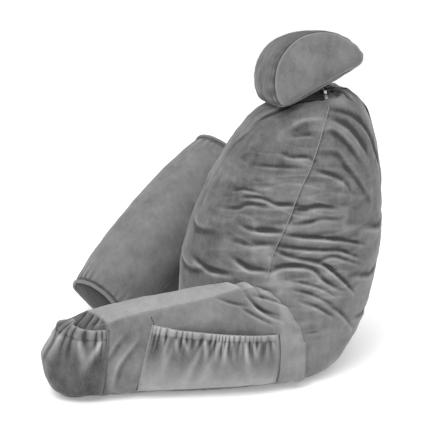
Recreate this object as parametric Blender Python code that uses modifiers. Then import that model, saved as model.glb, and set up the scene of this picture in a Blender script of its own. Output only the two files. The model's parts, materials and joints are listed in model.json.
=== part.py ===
"""Reading pillow: a backrest, two arms with pockets, a strapped neck cushion and a loose bolster.

Metres, +Z up. The sitter faces -Y and X runs across the seat. The origin is on the floor under the
backrest, in the plane that the two arms mirror in. "near" is the +X side and "far" the -X side.
"""

import math

import bmesh
import bpy
from mathutils import Matrix, Vector
from mathutils.bvhtree import BVHTree

CLOTH = 0.002               # thickness of pocket and strap cloth
SEAM_GAP = 0.0006           # between pieces that are sewn face to face
PRESSED_GAP = 0.0010        # between a cushion and the dent that it presses in a neighbour
RING_POINTS = 16            # cage points round a filled piece

# The backrest from the floor up. Each row is one level section: its height, half its width, the
# depth of its front, side seam and rear, and how far its rear edge rises above its front edge.
BACK_COLUMNS = ("height", "half_width", "front", "seam", "rear", "rise")
BACK_SECTIONS = (
    (0.000, 0.200, -0.016, 0.130, 0.220, 0.000),
    (0.000, 0.252, -0.056, 0.132, 0.268, 0.000),
    (0.034, 0.272, -0.084, 0.134, 0.316, 0.000),
    (0.110, 0.272, -0.090, 0.134, 0.354, 0.000),
    (0.200, 0.266, -0.092, 0.134, 0.374, 0.000),
    (0.290, 0.258, -0.070, 0.140, 0.386, 0.000),
    (0.370, 0.249, -0.038, 0.164, 0.386, 0.000),
    (0.450, 0.238, 0.002, 0.188, 0.376, 0.000),
    (0.522, 0.222, 0.046, 0.210, 0.358, 0.010),
    (0.574, 0.198, 0.088, 0.226, 0.334, 0.020),
    (0.598, 0.150, 0.130, 0.234, 0.306, 0.028),
    (0.606, 0.080, 0.174, 0.238, 0.272, 0.018),
)
BACK_SQUARENESS = 2.4       # 2 is an ellipse, more is squarer

# One arm from its rear end forward to its tip. Each row is one upright section: its depth, its
# centre's distance from the middle plane, half its width, and the heights of its foot and top.
ARM_COLUMNS = ("depth", "centre", "half_width", "foot", "top")
ARM_SECTIONS = (
    (0.200, 0.252, 0.016, 0.030, 0.070),
    (0.196, 0.250, 0.030, 0.008, 0.118),
    (0.175, 0.244, 0.044, 0.000, 0.168),
    (0.140, 0.238, 0.058, 0.000, 0.208),
    (0.085, 0.236, 0.068, 0.000, 0.232),
    (0.020, 0.240, 0.073, 0.000, 0.229),
    (-0.065, 0.246, 0.074, 0.000, 0.208),
    (-0.150, 0.254, 0.078, 0.000, 0.195),
    (-0.232, 0.263, 0.084, 0.000, 0.182),
    (-0.298, 0.263, 0.082, 0.000, 0.157),
    (-0.324, 0.260, 0.064, 0.010, 0.130),
    (-0.337, 0.258, 0.034, 0.032, 0.096),
)
ARM_SQUARENESS = 3.2
ARM_FLAT = 0.012            # how much of an arm's round underside the floor flattens

# A side pocket's corners as (depth, height) pairs. A pocket's room is what it stands off its arm in
# the middle, at its belly and at its hem; narrowing draws the open hem in towards the middle.
SIDE_POCKET = {
    "front_foot": (-0.154, 0.032),
    "front_top": (-0.120, 0.163),
    "rear_foot": (0.124, 0.038),
    "rear_top": (0.128, 0.142),
}
SIDE_POCKET_ROOM = {"belly": 0.016, "hem": 0.015, "narrowing": 0.5}
# An end pocket goes round an upright axis inside the arm's tip, from the outer side to the inner:
# degrees from straight outward at its foot and at its top.
END_POCKET_AXIS = (0.260, -0.240)
END_POCKET_TURN = {"foot": (-12.0, 192.0), "top": (-25.0, 205.0)}
END_POCKET_HEIGHTS = (0.028, 0.156)
END_POCKET_DIP = 0.005      # how much lower its hem is at the arm's tip
END_POCKET_ROOM = {"belly": 0.014, "hem": 0.024, "narrowing": 2.0}
EDGE_ROOM = 0.0048          # cloth's stand-off along a sewn edge
POCKET_FULL_AT = 0.55       # share of a pocket's height where it has all its room
POCKET_STEPS = (14, 6)

# Half-round cushions lie along X on their flat side before they are turned into place.
NECK_LENGTH, NECK_CHORD, NECK_DEPTH = 0.340, 0.209, 0.113
NECK_CROWN = 0.08           # how much larger its outline is at its middle than at its ends
NECK_PLACE = (0.0, 0.212, 0.621)
NECK_TURN = (29.0, -2.3, 6.0)
BOLSTER_LENGTH, BOLSTER_CHORD, BOLSTER_DEPTH = 0.520, 0.190, 0.094
BOLSTER_CROWN = 0.22
BOLSTER_FOOT = (-0.088, -0.285, 0.060)
BOLSTER_AXIS = (-0.520, 0.580, 0.627)       # from its foot to its head
BOLSTER_DOWN = (0.410, 0.814, -0.413)       # across its flat side, towards the lower edge
FLAT_POINTS = 6             # cage points along a flat side; the rest go over the round side
# Stations from a half-round cushion's end to its middle: the share of its length, the distance
# beyond that, the scale of its outline and the share of its crown.
CUSHION_COLUMNS = ("share", "beyond", "scale", "crown")
CUSHION_END = (
    (0.50, 0.008, 0.50, 0.0),
    (0.50, 0.004, 0.86, 0.0),
    (0.50, -0.003, 0.99, 0.0),
    (0.50, -0.016, 1.01, 0.1),
    (0.26, 0.000, 1.01, 1.0),
)
PIPING_RADIUS = 0.003
PIPING_POINTS = 48
PIPING_CLEAR = 0.0040       # the faceted tube's distance from the cushion
PIPING_INSET = 0.008        # from the cushion's end
PIPING_CENTRE = 0.4         # share of the bolster's depth that the piping is laid out round

# The strap runs from under the neck cushion over the rear of the backrest, in the middle plane:
# distances from the middle of the cushion's flat side, then depth and height of the free stretch,
# then heights on the rear of the backrest.
STRAP_WIDTH = 0.044
STRAP_ON_CUSHION = (-0.020, 0.000, 0.020)
STRAP_FREE = ((0.256, 0.631), (0.280, 0.625), (0.304, 0.613))
STRAP_ON_BACK = (0.590, 0.565, 0.535, 0.505)
STRAP_STEPS_ACROSS = 4

ZIP_HALF_LENGTH, ZIP_WIDTH, ZIP_DEPTH = 0.125, 0.018, 0.236
ZIP_STEPS = (12, 2)
SLIDER_SIZE = (0.012, 0.008, 0.0045)
SLIDER_LIFT = 0.0101        # its middle above the backrest
PULL_SIZE = (0.017, 0.006, 0.0016)
PULL_LIFT = 0.0053
PULL_SLOT = (0.006, 0.0024, 0.010)

VELVET = ("grey_velvet", (0.262, 0.257, 0.262), 0.85, 0.0)
PIPING_VELVET = ("piping_velvet", (0.240, 0.236, 0.240), 0.85, 0.0)
ZIP_CLOTH = ("zip_cloth", (0.090, 0.088, 0.090), 0.8, 0.0)
NICKEL = ("nickel", (0.70, 0.70, 0.71), 0.3, 1.0)


def clear_scene():
    """Remove everything the file opened with."""
    for thing in list(bpy.data.objects):
        bpy.data.objects.remove(thing, do_unlink=True)


def new_collection(name):
    """Make a collection in the scene."""
    collection = bpy.data.collections.new(name)
    bpy.context.scene.collection.children.link(collection)
    return collection


def finish_material(finish):
    """Make or find the plain Principled material of a finish."""
    name, colour, roughness, metallic = finish
    material = bpy.data.materials.get(name) or bpy.data.materials.new(name)
    material.use_nodes = True
    shader = material.node_tree.nodes["Principled BSDF"]
    shader.inputs["Base Color"].default_value = (*colour, 1.0)
    shader.inputs["Roughness"].default_value = roughness
    shader.inputs["Metallic"].default_value = metallic
    return material


def piece_from(name, shape, finish, parts):
    """Turn a bmesh into a smooth-shaded object with its finish."""
    mesh = bpy.data.meshes.new(name)
    shape.to_mesh(mesh)
    shape.free()
    mesh.shade_smooth()
    mesh.materials.append(finish_material(finish))
    piece = bpy.data.objects.new(name, mesh)
    parts.objects.link(piece)
    return piece


def rows(columns, table):
    """A table's rows as dictionaries."""
    return [dict(zip(columns, row)) for row in table]


def squared(value, squareness):
    """A sine or cosine bent towards a square with round corners."""
    return math.copysign(abs(value) ** (2.0 / squareness), value)


def blend(a, b, share):
    """The value that lies a share of the way from a to b."""
    return a + (b - a) * share


def loft(rings):
    """Join rings of equal length into a closed cage with a flat cap at each end."""
    shape = bmesh.new()
    levels = [[shape.verts.new(point) for point in ring] for ring in rings]
    for lower, upper in zip(levels, levels[1:]):
        for i in range(len(lower)):
            j = (i + 1) % len(lower)
            shape.faces.new((lower[i], lower[j], upper[j], upper[i]))
    shape.faces.new(levels[0][::-1])
    shape.faces.new(levels[-1])
    bmesh.ops.recalc_face_normals(shape, faces=shape.faces)
    return shape


def round_off(piece):
    """Round a coarse cage into a soft form."""
    rounding = piece.modifiers.new("Rounding", "SUBSURF")
    rounding.levels = 1
    rounding.render_levels = 1
    return piece


def surface_of(piece):
    """The piece's finished surface at its place, for laying cloth on it."""
    bpy.context.view_layer.update()
    graph = bpy.context.evaluated_depsgraph_get()
    mesh = bpy.data.meshes.new_from_object(piece.evaluated_get(graph))
    mesh.transform(piece.matrix_world)
    corners = [vertex.co.copy() for vertex in mesh.vertices]
    faces = [tuple(face.vertices) for face in mesh.polygons]
    bpy.data.meshes.remove(mesh)
    return BVHTree.FromPolygons(corners, faces)


def swollen_copy(piece, gap, cutters):
    """A cutter of the piece's finished form, larger by the gap all round."""
    bpy.context.view_layer.update()
    graph = bpy.context.evaluated_depsgraph_get()
    mesh = bpy.data.meshes.new_from_object(piece.evaluated_get(graph))
    mesh.transform(piece.matrix_world)
    outward = [vertex.normal.copy() for vertex in mesh.vertices]
    for vertex, normal in zip(mesh.vertices, outward):
        vertex.co += gap * normal
    cutter = bpy.data.objects.new(f"{piece.name}_cutter", mesh)
    cutter.hide_render = True
    cutter.display_type = "WIRE"
    cutters.objects.link(cutter)
    return cutter


def cut(piece, cutter):
    """Cut the cutter's form out of the piece."""
    fit = piece.modifiers.new("Fit", "BOOLEAN")
    fit.operation = "DIFFERENCE"
    fit.object = cutter


def make_backrest(parts):
    """The tall filled back, lofted from level sections."""
    rings = []
    for section in rows(BACK_COLUMNS, BACK_SECTIONS):
        ring = []
        for i in range(RING_POINTS):
            turn = math.tau * i / RING_POINTS
            across = section["half_width"] * squared(math.cos(turn), BACK_SQUARENESS)
            reach = squared(math.sin(turn), BACK_SQUARENESS)
            end = section["rear"] if reach > 0 else section["front"]
            depth = blend(section["seam"], end, abs(reach))
            ring.append((across, depth, section["height"] + 0.5 * section["rise"] * reach))
        rings.append(ring)
    return round_off(piece_from("backrest", loft(rings), VELVET, parts))


def make_arm(name, side, parts):
    """One filled arm, lofted from upright sections that are flat where they lie on the floor."""
    rings = []
    for section in rows(ARM_COLUMNS, ARM_SECTIONS):
        ring = []
        low = section["foot"] - ARM_FLAT
        half_height = 0.5 * (section["top"] - low)
        for i in range(RING_POINTS):
            turn = math.tau * i / RING_POINTS
            across = section["centre"] + section["half_width"] * squared(math.cos(turn), ARM_SQUARENESS)
            height = low + half_height * (1.0 + squared(math.sin(turn), ARM_SQUARENESS))
            ring.append((side * across, section["depth"], max(section["foot"], height)))
        rings.append(ring)
    return round_off(piece_from(name, loft(rings), VELVET, parts))


def make_sheet(name, point, steps, finish, parts, offset):
    """A sheet of cloth through point(u, v), thickened to one side of it."""
    shape = bmesh.new()
    grid = [[shape.verts.new(point(i / steps[0], j / steps[1])) for j in range(steps[1] + 1)]
            for i in range(steps[0] + 1)]
    for i in range(steps[0]):
        for j in range(steps[1]):
            shape.faces.new((grid[i][j], grid[i + 1][j], grid[i + 1][j + 1], grid[i][j + 1]))
    piece = piece_from(name, shape, finish, parts)
    wall = piece.modifiers.new("Cloth", "SOLIDIFY")
    wall.thickness = CLOTH
    wall.offset = offset
    return piece


def pocket_room(u, v, room):
    """How far a pocket stands off at (u, v): sewn at its sides and foot, open at its hem."""
    rise = math.sin(0.5 * math.pi * min(1.0, v / POCKET_FULL_AT)) ** 0.8
    fullness = math.sin(math.pi * u) ** blend(0.5, room["narrowing"], v)
    return EDGE_ROOM + fullness * rise * blend(room["belly"], room["hem"], v)


def make_side_pocket(name, side, arm, parts):
    """The gathered patch pocket on an arm's outer side."""
    inward = Vector((-side, 0.0, 0.0))

    def point(u, v):
        front = Vector(SIDE_POCKET["front_foot"]).lerp(Vector(SIDE_POCKET["front_top"]), v)
        rear = Vector(SIDE_POCKET["rear_foot"]).lerp(Vector(SIDE_POCKET["rear_top"]), v)
        depth, height = front.lerp(rear, u)
        hit = arm.ray_cast(Vector((side, depth, height)), inward)[0]
        return hit - pocket_room(u, v, SIDE_POCKET_ROOM) * inward

    make_sheet(name, point, POCKET_STEPS, VELVET, parts, side)


def make_end_pocket(name, side, arm, parts):
    """The gathered pocket that wraps an arm's tip."""

    def point(u, v):
        foot, top = [blend(*END_POCKET_TURN[edge], u) for edge in ("foot", "top")]
        turn = math.radians(blend(foot, top, v))
        outward = Vector((side * math.cos(turn), -math.sin(turn), 0.0))
        height = blend(*END_POCKET_HEIGHTS, v) - v * END_POCKET_DIP * math.sin(math.pi * u)
        axis = Vector((side * END_POCKET_AXIS[0], END_POCKET_AXIS[1], height))
        hit = arm.ray_cast(axis + outward, -outward)[0]
        return hit + pocket_room(u, v, END_POCKET_ROOM) * outward

    make_sheet(name, point, POCKET_STEPS, VELVET, parts, side)


def half_round(chord, depth, scale):
    """A half-round outline as (across, up) pairs, scaled about the middle of its depth."""
    sole = 0.5 * (1.0 - scale) * depth
    flat = [(scale * chord * (i / FLAT_POINTS - 0.5), sole) for i in range(FLAT_POINTS)]
    turns = [math.pi * i / (RING_POINTS - FLAT_POINTS) for i in range(RING_POINTS - FLAT_POINTS)]
    arc = [(0.5 * scale * chord * math.cos(turn), sole + scale * depth * math.sin(turn)) for turn in turns]
    return flat + arc


def make_half_cushion(name, length, chord, depth, crown, parts):
    """A filled half-round cushion that lies along X on its flat side."""
    foot = []
    for station in rows(CUSHION_COLUMNS, CUSHION_END):
        x = -station["share"] * length - station["beyond"]
        foot.append((x, station["scale"] + station["crown"] * crown))
    head = [(-x, scale) for x, scale in reversed(foot)]
    rings = []
    for x, scale in foot + head:
        rings.append([(x, across, up) for across, up in half_round(chord, depth, scale)])
    return round_off(piece_from(name, loft(rings), VELVET, parts))


def make_piping(name, station, cushion, parts):
    """Round piping laid on a half-round cushion's edge, in the cushion's own frame."""
    curve = bpy.data.curves.new(name, "CURVE")
    curve.dimensions = "3D"
    curve.bevel_depth = PIPING_RADIUS
    curve.bevel_resolution = 1
    line = curve.splines.new("POLY")
    line.points.add(PIPING_POINTS - 1)
    line.use_cyclic_u = True
    middle = Vector((station, 0.0, PIPING_CENTRE * BOLSTER_DEPTH))
    for i, point in enumerate(line.points):
        turn = math.tau * i / PIPING_POINTS
        outward = Vector((0.0, math.cos(turn), math.sin(turn)))
        hit, normal = cushion.ray_cast(middle + outward, -outward)[:2]
        lift = Vector((0.0, normal.y, normal.z)).normalized() * (PIPING_RADIUS + PIPING_CLEAR)
        point.co = (*(hit + lift), 1.0)
    curve.materials.append(finish_material(PIPING_VELVET))
    piping = bpy.data.objects.new(name, curve)
    parts.objects.link(piping)
    return piping


def bolster_matrix():
    """Where the bolster lies: its length along its axis and its round side up."""
    along = Vector(BOLSTER_AXIS).normalized()
    down = Vector(BOLSTER_DOWN)
    down = (down - down.dot(along) * along).normalized()
    turned = Matrix((along, -down, down.cross(along))).transposed()
    middle = Vector(BOLSTER_FOOT) + 0.5 * BOLSTER_LENGTH * along
    return Matrix.Translation(middle) @ turned.to_4x4()


def make_bolster(parts):
    """The loose bolster with piping round both its ends."""
    bolster = make_half_cushion("bolster", BOLSTER_LENGTH, BOLSTER_CHORD, BOLSTER_DEPTH, BOLSTER_CROWN, parts)
    own_surface = surface_of(bolster)
    bolster.matrix_world = bolster_matrix()
    for end, side in (("foot", -1.0), ("head", 1.0)):
        station = side * (0.5 * BOLSTER_LENGTH - PIPING_INSET)
        piping = make_piping(f"bolster_piping_{end}", station, own_surface, parts)
        piping.matrix_world = bolster.matrix_world
    return bolster


def make_neck_cushion(parts):
    """The half-round cushion that rests on the top of the backrest."""
    cushion = make_half_cushion("neck_cushion", NECK_LENGTH, NECK_CHORD, NECK_DEPTH, NECK_CROWN, parts)
    cushion.location = NECK_PLACE
    cushion.rotation_euler = [math.radians(turn) for turn in NECK_TURN]
    return cushion


def make_strap(cushion, backrest, parts):
    """The flat strap from under the neck cushion down the rear of the backrest."""
    under = surface_of(cushion)
    upward = cushion.matrix_world.to_3x3() @ Vector((0.0, 0.0, 1.0))
    forward = Vector((0.0, -1.0, 0.0))

    def line_at(x):
        line = []
        for across in STRAP_ON_CUSHION:
            start = cushion.matrix_world @ Vector((x, across, -NECK_DEPTH))
            line.append(under.ray_cast(start, upward)[0] - EDGE_ROOM * upward)
        line += [Vector((x, *point)) for point in STRAP_FREE]
        for height in STRAP_ON_BACK:
            hit = backrest.ray_cast(Vector((x, 1.0, height)), forward)[0]
            line.append(hit - (CLOTH + EDGE_ROOM) * forward)
        return line

    steps = (STRAP_STEPS_ACROSS, len(STRAP_ON_CUSHION) + len(STRAP_FREE) + len(STRAP_ON_BACK) - 1)

    def point(u, v):
        return line_at(blend(-0.5, 0.5, u) * STRAP_WIDTH)[round(v * steps[1])]

    make_sheet("neck_strap", point, steps, VELVET, parts, -1.0)


def make_box(name, size, finish, place, parts):
    """A small block with rounded edges."""
    shape = bmesh.new()
    bmesh.ops.create_cube(shape, size=1.0)
    bmesh.ops.scale(shape, vec=size, verts=shape.verts)
    box = piece_from(name, shape, finish, parts)
    edges = box.modifiers.new("Edges", "BEVEL")
    edges.width = 0.2 * min(size)
    edges.segments = 2
    box.matrix_world = place
    return box


def make_zip(backrest, parts, cutters):
    """The zip across the top of the backrest, with its slider and pull at the near end."""
    drop = Vector((0.0, 0.0, -1.0))

    def point(u, v):
        x = blend(-1.0, 1.0, u) * ZIP_HALF_LENGTH
        y = ZIP_DEPTH + blend(-0.5, 0.5, v) * ZIP_WIDTH
        return backrest.ray_cast(Vector((x, y, 1.0)), drop)[0] - EDGE_ROOM * drop

    make_sheet("zip_tape", point, ZIP_STEPS, ZIP_CLOTH, parts, 1.0)

    def lying(x, lift):
        hit, normal = backrest.ray_cast(Vector((x, ZIP_DEPTH, 1.0)), drop)[:2]
        sloping = Vector((normal.z, 0.0, -normal.x)).normalized()
        turned = Matrix((sloping, normal.cross(sloping), normal)).transposed()
        return Matrix.Translation(hit + lift * normal) @ turned.to_4x4()

    make_box("zip_slider", SLIDER_SIZE, NICKEL, lying(ZIP_HALF_LENGTH - SLIDER_SIZE[0], SLIDER_LIFT), parts)
    pull_x = ZIP_HALF_LENGTH + 0.5 * PULL_SIZE[0]
    pull = make_box("zip_pull", PULL_SIZE, NICKEL, lying(pull_x, PULL_LIFT), parts)
    slot = make_box("pull_slot", PULL_SLOT, NICKEL, pull.matrix_world, cutters)
    slot.hide_render = True
    slot.display_type = "WIRE"
    cut(pull, slot)


def main():
    """Build every piece of the pillow."""
    clear_scene()
    parts = new_collection("reading_pillow")
    cutters = new_collection("cutters")
    backrest = make_backrest(parts)
    back_surface = surface_of(backrest)
    back_cutter = swollen_copy(backrest, SEAM_GAP, cutters)
    bolster = make_bolster(parts)
    bolster_cutter = swollen_copy(bolster, PRESSED_GAP, cutters)
    arms = {}
    for end, side in (("near", 1.0), ("far", -1.0)):
        arms[end] = make_arm(f"arm_{end}", side, parts)
        arm_surface = surface_of(arms[end])
        cut(arms[end], back_cutter)
        make_side_pocket(f"side_pocket_{end}", side, arm_surface, parts)
        make_end_pocket(f"end_pocket_{end}", side, arm_surface, parts)
    cut(arms["far"], bolster_cutter)
    neck_cushion = make_neck_cushion(parts)
    cut(backrest, bolster_cutter)
    cut(backrest, swollen_copy(neck_cushion, PRESSED_GAP, cutters))
    make_strap(neck_cushion, back_surface, parts)
    make_zip(back_surface, parts, cutters)


main()
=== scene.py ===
"""Looks of the reading pillow: stuffed velvet covers, gathered pockets, piping, seams and zip.

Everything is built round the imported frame, in metres, +Z up. The sitter faces -Y and the near arm is on
the +X side, where the photograph was taken from.
"""

import json
import logging
import math
from dataclasses import dataclass, field
from enum import Enum

import bpy
import numpy as np
from mathutils import Matrix, Vector, noise
from mathutils.bvhtree import BVHTree

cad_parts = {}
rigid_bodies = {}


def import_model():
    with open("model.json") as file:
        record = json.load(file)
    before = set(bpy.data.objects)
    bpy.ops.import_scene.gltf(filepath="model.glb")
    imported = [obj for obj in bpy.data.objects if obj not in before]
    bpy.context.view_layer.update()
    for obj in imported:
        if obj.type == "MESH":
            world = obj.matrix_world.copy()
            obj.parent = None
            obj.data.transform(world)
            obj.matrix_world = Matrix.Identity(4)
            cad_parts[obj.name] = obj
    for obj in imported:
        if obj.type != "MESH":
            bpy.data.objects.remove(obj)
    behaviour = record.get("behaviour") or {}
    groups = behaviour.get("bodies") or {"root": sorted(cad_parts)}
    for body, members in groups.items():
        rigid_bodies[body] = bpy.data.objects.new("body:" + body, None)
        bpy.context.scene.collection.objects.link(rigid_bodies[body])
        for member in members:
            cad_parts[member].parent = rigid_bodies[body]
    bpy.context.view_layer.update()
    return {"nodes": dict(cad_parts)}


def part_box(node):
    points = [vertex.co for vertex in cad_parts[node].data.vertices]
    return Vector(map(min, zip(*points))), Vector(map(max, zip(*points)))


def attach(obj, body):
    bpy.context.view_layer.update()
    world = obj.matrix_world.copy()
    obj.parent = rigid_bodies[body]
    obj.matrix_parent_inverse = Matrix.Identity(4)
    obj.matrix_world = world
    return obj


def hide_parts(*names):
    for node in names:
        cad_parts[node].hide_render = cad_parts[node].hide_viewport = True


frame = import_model()
LOG = logging.getLogger("reading_pillow")

MM = 0.001
FLOOR_CLEAR = 0.0004        # the lowest that a cover's cloth lies
FLOOR_HOLD = 0.004          # a cover's cloth below this stays in place while it is stuffed
CLOTH = 0.002               # thickness of pocket and strap cloth
LINE_STEP = 0.003           # spacing of the samples of a line that lies on a cover
FEWEST_SAMPLES = 4          # a fold with fewer samples than this has missed its cover
TONE_RELIEF = 4 * MM        # the height of relief whose painted highlight or shade changes the tone by 1
GATHER_RELIEF = 2 * MM      # the same for the small gathers beside a seam
TONE_LIMIT = 1.5
TONE_GAIN = 0.42            # how far a tone of 1 moves the pile's colour from dark to light
MERGED = 0.00001            # corners closer than this are one
SEAM_BLUR = 0.0015          # how softly the tone changes across a seam
SIMULATED_FRAMES = 20
PRESSURE = 1.0              # of the stuffing on its cover

Pairs = tuple[tuple[float, float], ...]
FoldRows = tuple[tuple[float, float, float, Pairs], ...]
Finishes = dict[str, bpy.types.Material]


class Side(Enum):
    """A side that a cover is looked at from, square on. Its value is the outward direction."""

    NEAR = (1.0, 0.0, 0.0)
    FAR = (-1.0, 0.0, 0.0)
    FRONT = (0.0, -1.0, 0.0)
    REAR = (0.0, 1.0, 0.0)
    TOP = (0.0, 0.0, 1.0)

    def outward(self) -> Vector:
        """The direction that this side faces."""
        return Vector(self.value)

    def start(self, a: float, b: float) -> Vector:
        """A point a metre and more outside the cover.

        Args:
            a: depth on the near and far sides, and distance across on the others.
            b: depth on the top, and height on the others.

        Returns:
            The point that a line is dropped from, onto the cover.
        """
        if self in (Side.NEAR, Side.FAR):
            return Vector((self.value[0], a, b))
        if self is Side.TOP:
            return Vector((a, b, 1.5))
        return Vector((a, 1.5 * self.value[1], b))


class End(Enum):
    """The two ends of a half-round cushion, along its length."""

    FOOT = -1.0
    HEAD = 1.0


# ---------------------------------------------------------------------------------------------------
# Curves


def ramp(values: np.ndarray, start: float, run: float) -> np.ndarray:
    """A straight rise from 0, at the start, to 1 after the run."""
    return np.clip((values - start) / run, 0.0, 1.0)


def ease(values: np.ndarray, start: float, run: float) -> np.ndarray:
    """The same rise with soft ends."""
    share = ramp(values, start, run)
    return share**2 * (3 - 2 * share)


def bell(values: np.ndarray, middle: float, width: float) -> np.ndarray:
    """A bell curve that is 1 high."""
    return np.exp(-(((values - middle) / width) ** 2))


def below(values: np.ndarray, edge: float, blur: float) -> np.ndarray:
    """1 well below an edge and 0 well above it."""
    return 1.0 / (1.0 + np.exp((values - edge) / blur))


# ---------------------------------------------------------------------------------------------------
# Selecting, making and finishing meshes


def choose(piece: bpy.types.Object) -> None:
    """Make one object the only selected one, and the active one."""
    for other in bpy.context.view_layer.objects:
        other.select_set(False)
    piece.select_set(True)
    bpy.context.view_layer.objects.active = piece


def apply_modifiers(piece: bpy.types.Object) -> None:
    """Apply all the modifiers of a piece in their order."""
    choose(piece)
    for modifier in list(piece.modifiers):
        bpy.ops.object.modifier_apply(modifier=modifier.name)


def subdivide(piece: bpy.types.Object, levels: int) -> None:
    """Round a piece's mesh and make it denser."""
    finer = piece.modifiers.new("Finer", "SUBSURF")
    finer.levels = levels
    finer.render_levels = levels
    apply_modifiers(piece)


def thicken(piece: bpy.types.Object, thickness: float) -> None:
    """Give a surface its thickness, half of it to each side."""
    wall = piece.modifiers.new("Wall", "SOLIDIFY")
    wall.thickness = thickness
    wall.offset = 0.0
    apply_modifiers(piece)


def new_object(name: str, data: bpy.types.ID) -> bpy.types.Object:
    """Add an object to the scene."""
    piece = bpy.data.objects.new(name, data)
    bpy.context.scene.collection.objects.link(piece)
    return piece


def merged_copy(node: str, name: str) -> bpy.types.Object:
    """Copy a solid of the frame, with the corners of its facets joined."""
    piece = new_object(name, frame["nodes"][node].data.copy())
    choose(piece)
    bpy.ops.object.mode_set(mode="EDIT")
    bpy.ops.mesh.select_all(action="SELECT")
    bpy.ops.mesh.remove_doubles(threshold=MERGED)
    bpy.ops.object.mode_set(mode="OBJECT")
    return piece


def piece_from(name: str, points: np.ndarray, faces: list[tuple[int, ...]]) -> bpy.types.Object:
    """Make a smooth-shaded object from points and faces.

    Args:
        name: the piece's name.
        points: its corners, in the frame's coordinates.
        faces: the corners of each face.

    Returns:
        The new object, at the origin.
    """
    mesh = bpy.data.meshes.new(name)
    mesh.from_pydata([tuple(point) for point in points], [], faces)
    mesh.shade_smooth()
    return new_object(name, mesh)


def grid_faces(rows: int, columns: int) -> list[tuple[int, ...]]:
    """The faces of a grid of points that is stored row after row."""
    faces = []
    for i in range(rows - 1):
        for j in range(columns - 1):
            a = i * columns + j
            faces.append((a, a + columns, a + columns + 1, a + 1))
    return faces


def points_of(piece: bpy.types.Object) -> np.ndarray:
    """The corners of a piece's mesh."""
    points = np.empty(len(piece.data.vertices) * 3, np.float32)
    piece.data.vertices.foreach_get("co", points)
    return points.reshape(-1, 3).astype(float)


def normals_of(piece: bpy.types.Object) -> np.ndarray:
    """The outward direction at each corner of a piece's mesh."""
    normals = np.empty(len(piece.data.vertices) * 3, np.float32)
    piece.data.vertices.foreach_get("normal", normals)
    return normals.reshape(-1, 3).astype(float)


def move_points(piece: bpy.types.Object, points: np.ndarray) -> None:
    """Put a piece's corners at new places."""
    piece.data.vertices.foreach_set("co", points.astype(np.float32).ravel())
    piece.data.update()


def copies(
    name: str, first: bpy.types.Object, places: list[tuple[np.ndarray, np.ndarray]]
) -> bpy.types.Object:
    """Copy a small piece to many places and join the copies.

    Args:
        name: the joined piece's name.
        first: the piece at the origin. It is removed.
        places: for each copy its axes, as rows, and its place.

    Returns:
        One object that holds every copy.
    """
    model = points_of(first)
    faces = [tuple(face.vertices) for face in first.data.polygons]
    bpy.data.objects.remove(first)
    points, all_faces = [], []
    for axes, place in places:
        start = len(points) * len(model)
        points.append(model @ axes + place)
        all_faces += [tuple(start + k for k in face) for face in faces]
    return piece_from(name, np.vstack(points), all_faces)


def surface_of(piece: bpy.types.Object) -> BVHTree:
    """The finished surface of a piece, for laying lines and cloth on it."""
    corners = [tuple(vertex.co) for vertex in piece.data.vertices]
    return BVHTree.FromPolygons(corners, [tuple(face.vertices) for face in piece.data.polygons])


def finish_piece(piece: bpy.types.Object, material: bpy.types.Material) -> None:
    """Dress a piece, and let it ride with the pillow."""
    piece.data.materials.clear()
    piece.data.materials.append(material)
    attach(piece, "root")
    LOG.info("%s: %d faces", piece.name, len(piece.data.polygons))


# ---------------------------------------------------------------------------------------------------
# Lines and folds on a cover


def smooth_line(points: tuple[tuple[float, ...], ...], step: float) -> np.ndarray:
    """Samples of a smooth curve through a few points.

    Args:
        points: the points that it passes through.
        step: the spacing of the samples.

    Returns:
        One row for each sample.
    """
    given = np.array(points, float)
    guides = np.vstack([2 * given[0] - given[1], given, 2 * given[-1] - given[-2]])
    samples = []
    for before, start, end, after in zip(guides, guides[1:], guides[2:], guides[3:]):
        count = max(2, round(np.linalg.norm(end - start) / step))
        t = np.linspace(0.0, 1.0, count, endpoint=False)[:, None]
        linear = (end - before) * t
        square = (2 * before - 5 * start + 4 * end - after) * t**2
        cube = (3 * start - before - 3 * end + after) * t**3
        samples.append(0.5 * (2 * start + linear + square + cube))
    return np.vstack([*samples, given[-1:]])


@dataclass
class SurfaceLine:
    """A line that lies on a cover, sampled closely."""

    points: np.ndarray
    normals: np.ndarray

    @classmethod
    def laid(cls, side: Side, line: Pairs, surface: BVHTree, mirrored: bool = False) -> "SurfaceLine":
        """Drop a line square onto a cover.

        Args:
            side: the side that the line is drawn from.
            line: the points that it passes through, as the side reads them.
            surface: the cover.
            mirrored: whether the first coordinate changes its sign, for the far half.

        Returns:
            The samples that hit the cover.
        """
        sign = -1.0 if mirrored else 1.0
        hits, normals = [], []
        for a, b in smooth_line(line, LINE_STEP):
            hit, normal = surface.ray_cast(side.start(sign * a, b), -side.outward())[:2]
            if hit is not None:
                hits.append(hit)
                normals.append(normal)
        return cls(np.array(hits, float).reshape(-1, 3), np.array(normals, float).reshape(-1, 3))

    def tangents(self) -> np.ndarray:
        """The direction of the line at each sample."""
        run = np.gradient(self.points, axis=0)
        return run / np.maximum(np.linalg.norm(run, axis=1), 1e-9)[:, None]


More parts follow.
